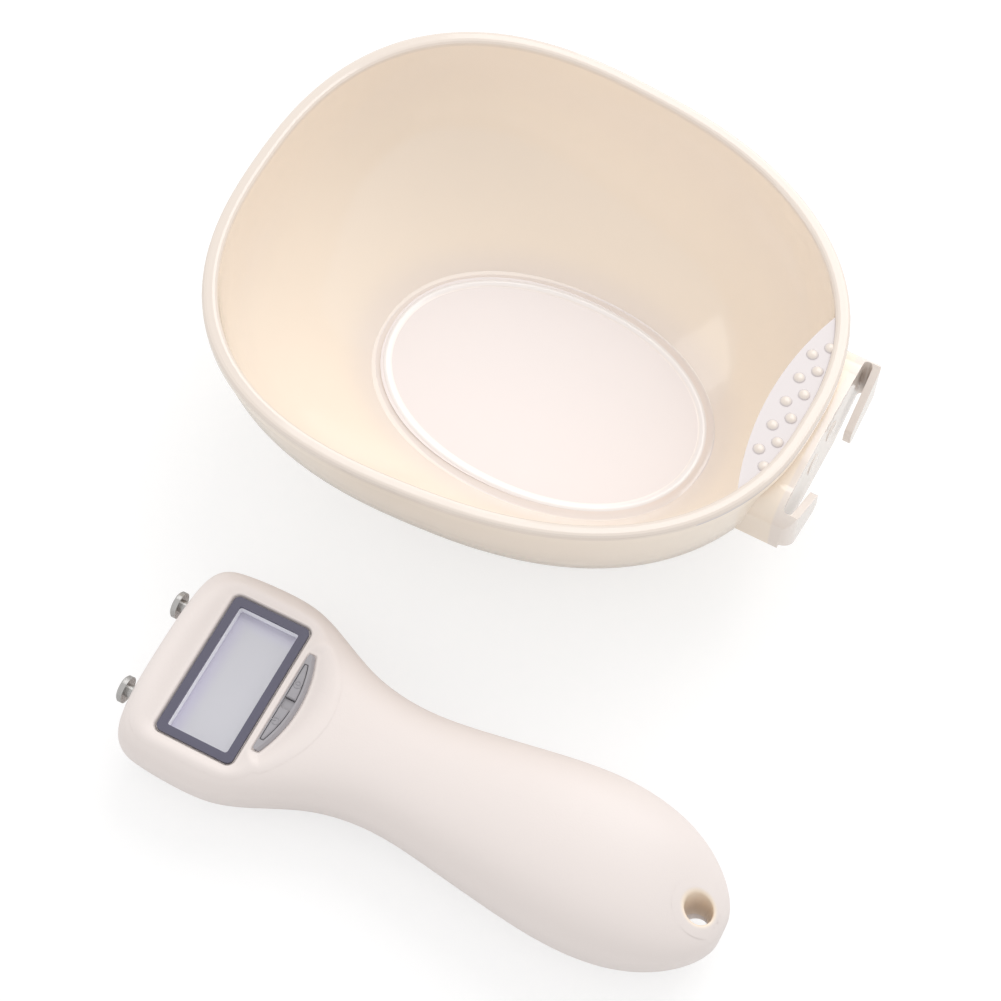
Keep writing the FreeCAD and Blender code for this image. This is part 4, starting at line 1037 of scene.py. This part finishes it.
# %% Floor edge of the bowl
base_half_length = 59.4 - 22.5
base_half_width = 50.2 - 24.2
base_exponent = 2.1
base_shift = 3.4
bowl_turn = math.radians(-1.0)
step_low, step_high = 2.45, 2.55
step_near_axis = 3.0
ring_count = 240
# Painted highlight on the ridge's crown, painted reflection on its outer slope
ridge_highlight_white = (0.93, 0.90, 0.90)
slope_reflection_pink = (0.90, 0.82, 0.78)
ridge_low = 2.46 * mm
ridge_high = 2.58 * mm
# Pairs of inset from the step's end and height, from the floor over the ridge outwards
edge_profile = ((1.5, 2.49), (1.1, 2.52), (0.8, 2.57), (0.5, 2.64), (0.25, 2.67),
                (0.0, 2.65), (-0.25, 2.57), (-0.5, 2.45), (-0.8, 2.31), (-1.1, 2.19),
                (-1.5, 2.08), (-1.9, 2.01), (-2.1, 1.97))


def turn_with_bowl(x, y):
    """The same places after the bowl's small turn about its upright axis."""
    return (x * math.cos(bowl_turn) - y * math.sin(bowl_turn),
            x * math.sin(bowl_turn) + y * math.cos(bowl_turn))


def oval(inset):
    """Points round the floor's outline, drawn in by an inset: a superellipse in polar form."""
    angle = np.linspace(0.0, 2.0 * math.pi, ring_count, endpoint=False)
    reach = np.abs(np.cos(angle) / (base_half_length - inset)) ** base_exponent
    reach += np.abs(np.sin(angle) / (base_half_width - inset)) ** base_exponent
    radius = reach ** (-1.0 / base_exponent)
    x, y = radius * np.cos(angle) + base_shift, radius * np.sin(angle)
    return np.stack(turn_with_bowl(x, y), axis=-1)


def find_step():
    """How far inside the floor's outline the step ends, measured along the X axis."""
    points = np.empty(len(nodes["bowl"].data.vertices) * 3)
    nodes["bowl"].data.vertices.foreach_get("co", points)
    points = points.reshape(-1, 3) / mm
    on_step = (points[:, 2] > step_low) & (points[:, 2] < step_high)
    on_step &= np.abs(points[:, 1]) < step_near_axis
    return base_half_length + base_shift - float(points[on_step, 0].max())


def floor_edge(step_inset):
    """The wave profile of (inset, height) carried round the floor's oval."""
    rings = [np.column_stack([oval(step_inset + inset), np.full(ring_count, height)])
             for inset, height in edge_profile]
    points = np.array(rings)
    return points, ring_faces(points)[:, ::-1]


def edge_plastic():
    """Bowl plastic of the floor's edge: painted highlight on the ridge, painted reflection
    outside.
    """
    material, tree, shader = start_finish("bowl_plastic_edge", ridge_highlight_white, 0.14)
    below = step_up(tree, object_place(tree)["Z"], ridge_high, ridge_low)
    two_tones(tree, shader, below, ridge_highlight_white, slope_reflection_pink)
    gloss(tree, shader)
    return material


step_inset = find_step()
print("floor step ends", round(step_inset, 2), "mm inside the outline")
edge_points, edge_faces = floor_edge(step_inset)
put_surface("bowl_floor_edge", edge_points, edge_faces, "bowl",
            edge_plastic())

# %% [markdown]
# The hole for a wrist cord has a rounded mouth. Its surface follows the handle's back
# outside, rolls over in a quarter circle and runs down as a tube to the parting line. In
# the hole the plastic is painted warmer: painted light for the light that it throws from
# wall to wall.

# %% Mouth of the cord hole
mouth_round = 0.9
mouth_reach = 2.3
mouth_rows, mouth_turns, tube_rows = 8, 9, 7
parting_height = 7.4
tube_clearance = 0.02
# Painted light: warmer where the hole's walls light each other
hole_bounce_cream = (0.93, 0.80, 0.66)


def cord_mouth(around=96):
    """Rings round the hole: on the back, over the rounded mouth and down the tube."""
    angle = np.linspace(0.0, 2.0 * math.pi, around, endpoint=False)
    flat = np.linspace(mouth_reach, mouth_round, mouth_rows)
    turn = np.linspace(0.0, math.pi / 2.0, mouth_turns)[1:]
    outs = np.concatenate([flat, mouth_round * (1.0 - np.sin(turn))])
    falls = np.concatenate([np.zeros(len(flat)), mouth_round * (1.0 - np.cos(turn))])
    reach = (cord_radius - tube_clearance + outs)[:, None]
    station = cord_station + reach * np.cos(angle)
    offset = reach * np.sin(angle)
    height = back_height(station, offset) + skin_lift - falls[:, None]
    upper = np.stack([station, offset, height], axis=-1)
    down = np.linspace(0.0, 1.0, tube_rows + 1)[1:, None]
    last = upper[-1]
    fall = parting_height + tube_clearance - last[:, 2]
    tube = np.stack([np.broadcast_to(last[:, 0], (tube_rows, around)),
                     np.broadcast_to(last[:, 1], (tube_rows, around)),
                     last[:, 2] + down * fall], axis=-1)
    points = np.concatenate([upper, tube]) + np.array([handle_front, handle_axis, 0.0])
    return points, ring_faces(points)[:, ::-1]


def warm_in_hole():
    """Handle plastic with painted light: it turns warmer down the hole."""
    material, tree, shader = start_finish("handle_plastic_hole", warm_white,
                                          satin_roughness)
    hole_axis = ((handle_front + cord_station) * mm, handle_axis * mm)
    reach = reach_from(tree, hole_axis, (1.0, 1.0))
    inside = step_up(tree, reach, (cord_radius + mouth_round) * mm, (cord_radius + 0.1) * mm)
    two_tones(tree, shader, inside, warm_white, hole_bounce_cream)
    satin(tree, shader)
    return material


mouth_points, mouth_faces = cord_mouth()
put_surface("cord_hole_mouth", mouth_points, mouth_faces, "handle",
            warm_in_hole())

# %% [markdown]
# The two screws in the hook bracket's slot are closed by flat plugs of the same plastic.
# A plug is a low dome: a profile turned round the screw's axis, which lies along X.

# %% Plugs over the bracket's screws
plug_radius = 2.2
plug_rise = 0.25
plate_face = 61.7
plug_height = 31.0
plug_offset = 4.0
plug_out_shares = np.array([1.0, 0.98, 0.93, 0.8, 0.55, 0.28, 0.02])
plug_rise_shares = np.array([0.0, 0.45, 0.7, 0.85, 0.95, 0.99, 1.0])


def plug(side, around=32):
    """Rings of a low dome round the screw's axis, turned with the bowl."""
    out = plug_out_shares * plug_radius
    rise = plug_rise_shares * plug_rise
    angle = np.linspace(0.0, 2.0 * math.pi, around, endpoint=False)
    x = np.repeat((plate_face + rise)[:, None], around, axis=1)
    y = side * plug_offset + out[:, None] * np.cos(angle)
    z = plug_height + out[:, None] * np.sin(angle)
    turned = np.stack([*turn_with_bowl(x, y), z], axis=-1)
    return turned, ring_faces(turned)


plug_points, plug_faces = join_surfaces([plug(-1.0), plug(1.0)])
put_surface("bracket_plugs", plug_points, plug_faces, "bowl",
            bowl_finish)

# %% [markdown]
# Each key has a raised mark that a thumb can feel: a ring open at the top with a bar for
# the power key, and a plain ring with a short bar in it for the other. Each is a thin rounded
# bead that follows a path over the key's flat top, half sunk, so only its crown shows.

# %% Marks on the keys
key_top = 19.8
mark_station = 26.85
mark_offset = 4.0
mark_radius = 0.66
mark_bead = 0.13
mark_gap = math.radians(38.0)
bar_outside = 0.25
bar_inside = 0.1
short_bar_half = 0.25


def bead(path, radius, sides=10):
    """A circle carried along a level path: each ring stands square to the path there."""
    ahead = np.vstack([path[1:], path[-1:] * 2.0 - path[-2:-1]])
    behind = np.vstack([path[:1] * 2.0 - path[1:2], path[:-1]])
    along = ahead - behind
    along /= np.linalg.norm(along, axis=1, keepdims=True)
    beside = np.column_stack([-along[:, 1], along[:, 0], np.zeros(len(path))])
    angle = np.linspace(0.0, 2.0 * math.pi, sides, endpoint=False)
    up = np.array([0.0, 0.0, 1.0])
    rings = (path[:, None] + radius * np.cos(angle)[None, :, None] * beside[:, None]
             + radius * np.sin(angle)[None, :, None] * up)
    return rings, ring_faces(rings)


def arc_path(side, start, end, count=40):
    """Points round a mark's centre on one key, from one angle to another."""
    angle = np.linspace(start, end, count)
    x = handle_front + mark_station + mark_radius * np.cos(angle)
    y = handle_axis + side * mark_offset + mark_radius * np.sin(angle)
    return np.column_stack([x, y, np.full(count, key_top)])


def bar_path(side, start, end, count=6):
    """Points along a short bar through a mark's centre, towards the tail."""
    x = handle_front + mark_station + np.linspace(start, end, count)
    y = np.full(count, handle_axis + side * mark_offset)
    return np.column_stack([x, y, np.full(count, key_top)])


power_arc = arc_path(-1.0, math.pi + mark_gap, 3.0 * math.pi - mark_gap)
power_bar = bar_path(-1.0, -mark_radius - bar_outside, -bar_inside)
unit_ring = arc_path(1.0, 0.0, 2.0 * math.pi)
unit_bar = bar_path(1.0, -short_bar_half, short_bar_half)
power_shapes = [bead(power_arc, mark_bead), bead(power_bar, mark_bead)]
unit_shapes = [bead(unit_ring, mark_bead), bead(unit_bar, mark_bead)]
power_points, power_faces = join_surfaces(power_shapes)
unit_points, unit_faces = join_surfaces(unit_shapes)
put_surface("power_mark", power_points, power_faces, "power_key",
            finishes["key_grey"])
put_surface("unit_mark", unit_points, unit_faces, "unit_key",
            finishes["key_grey"])
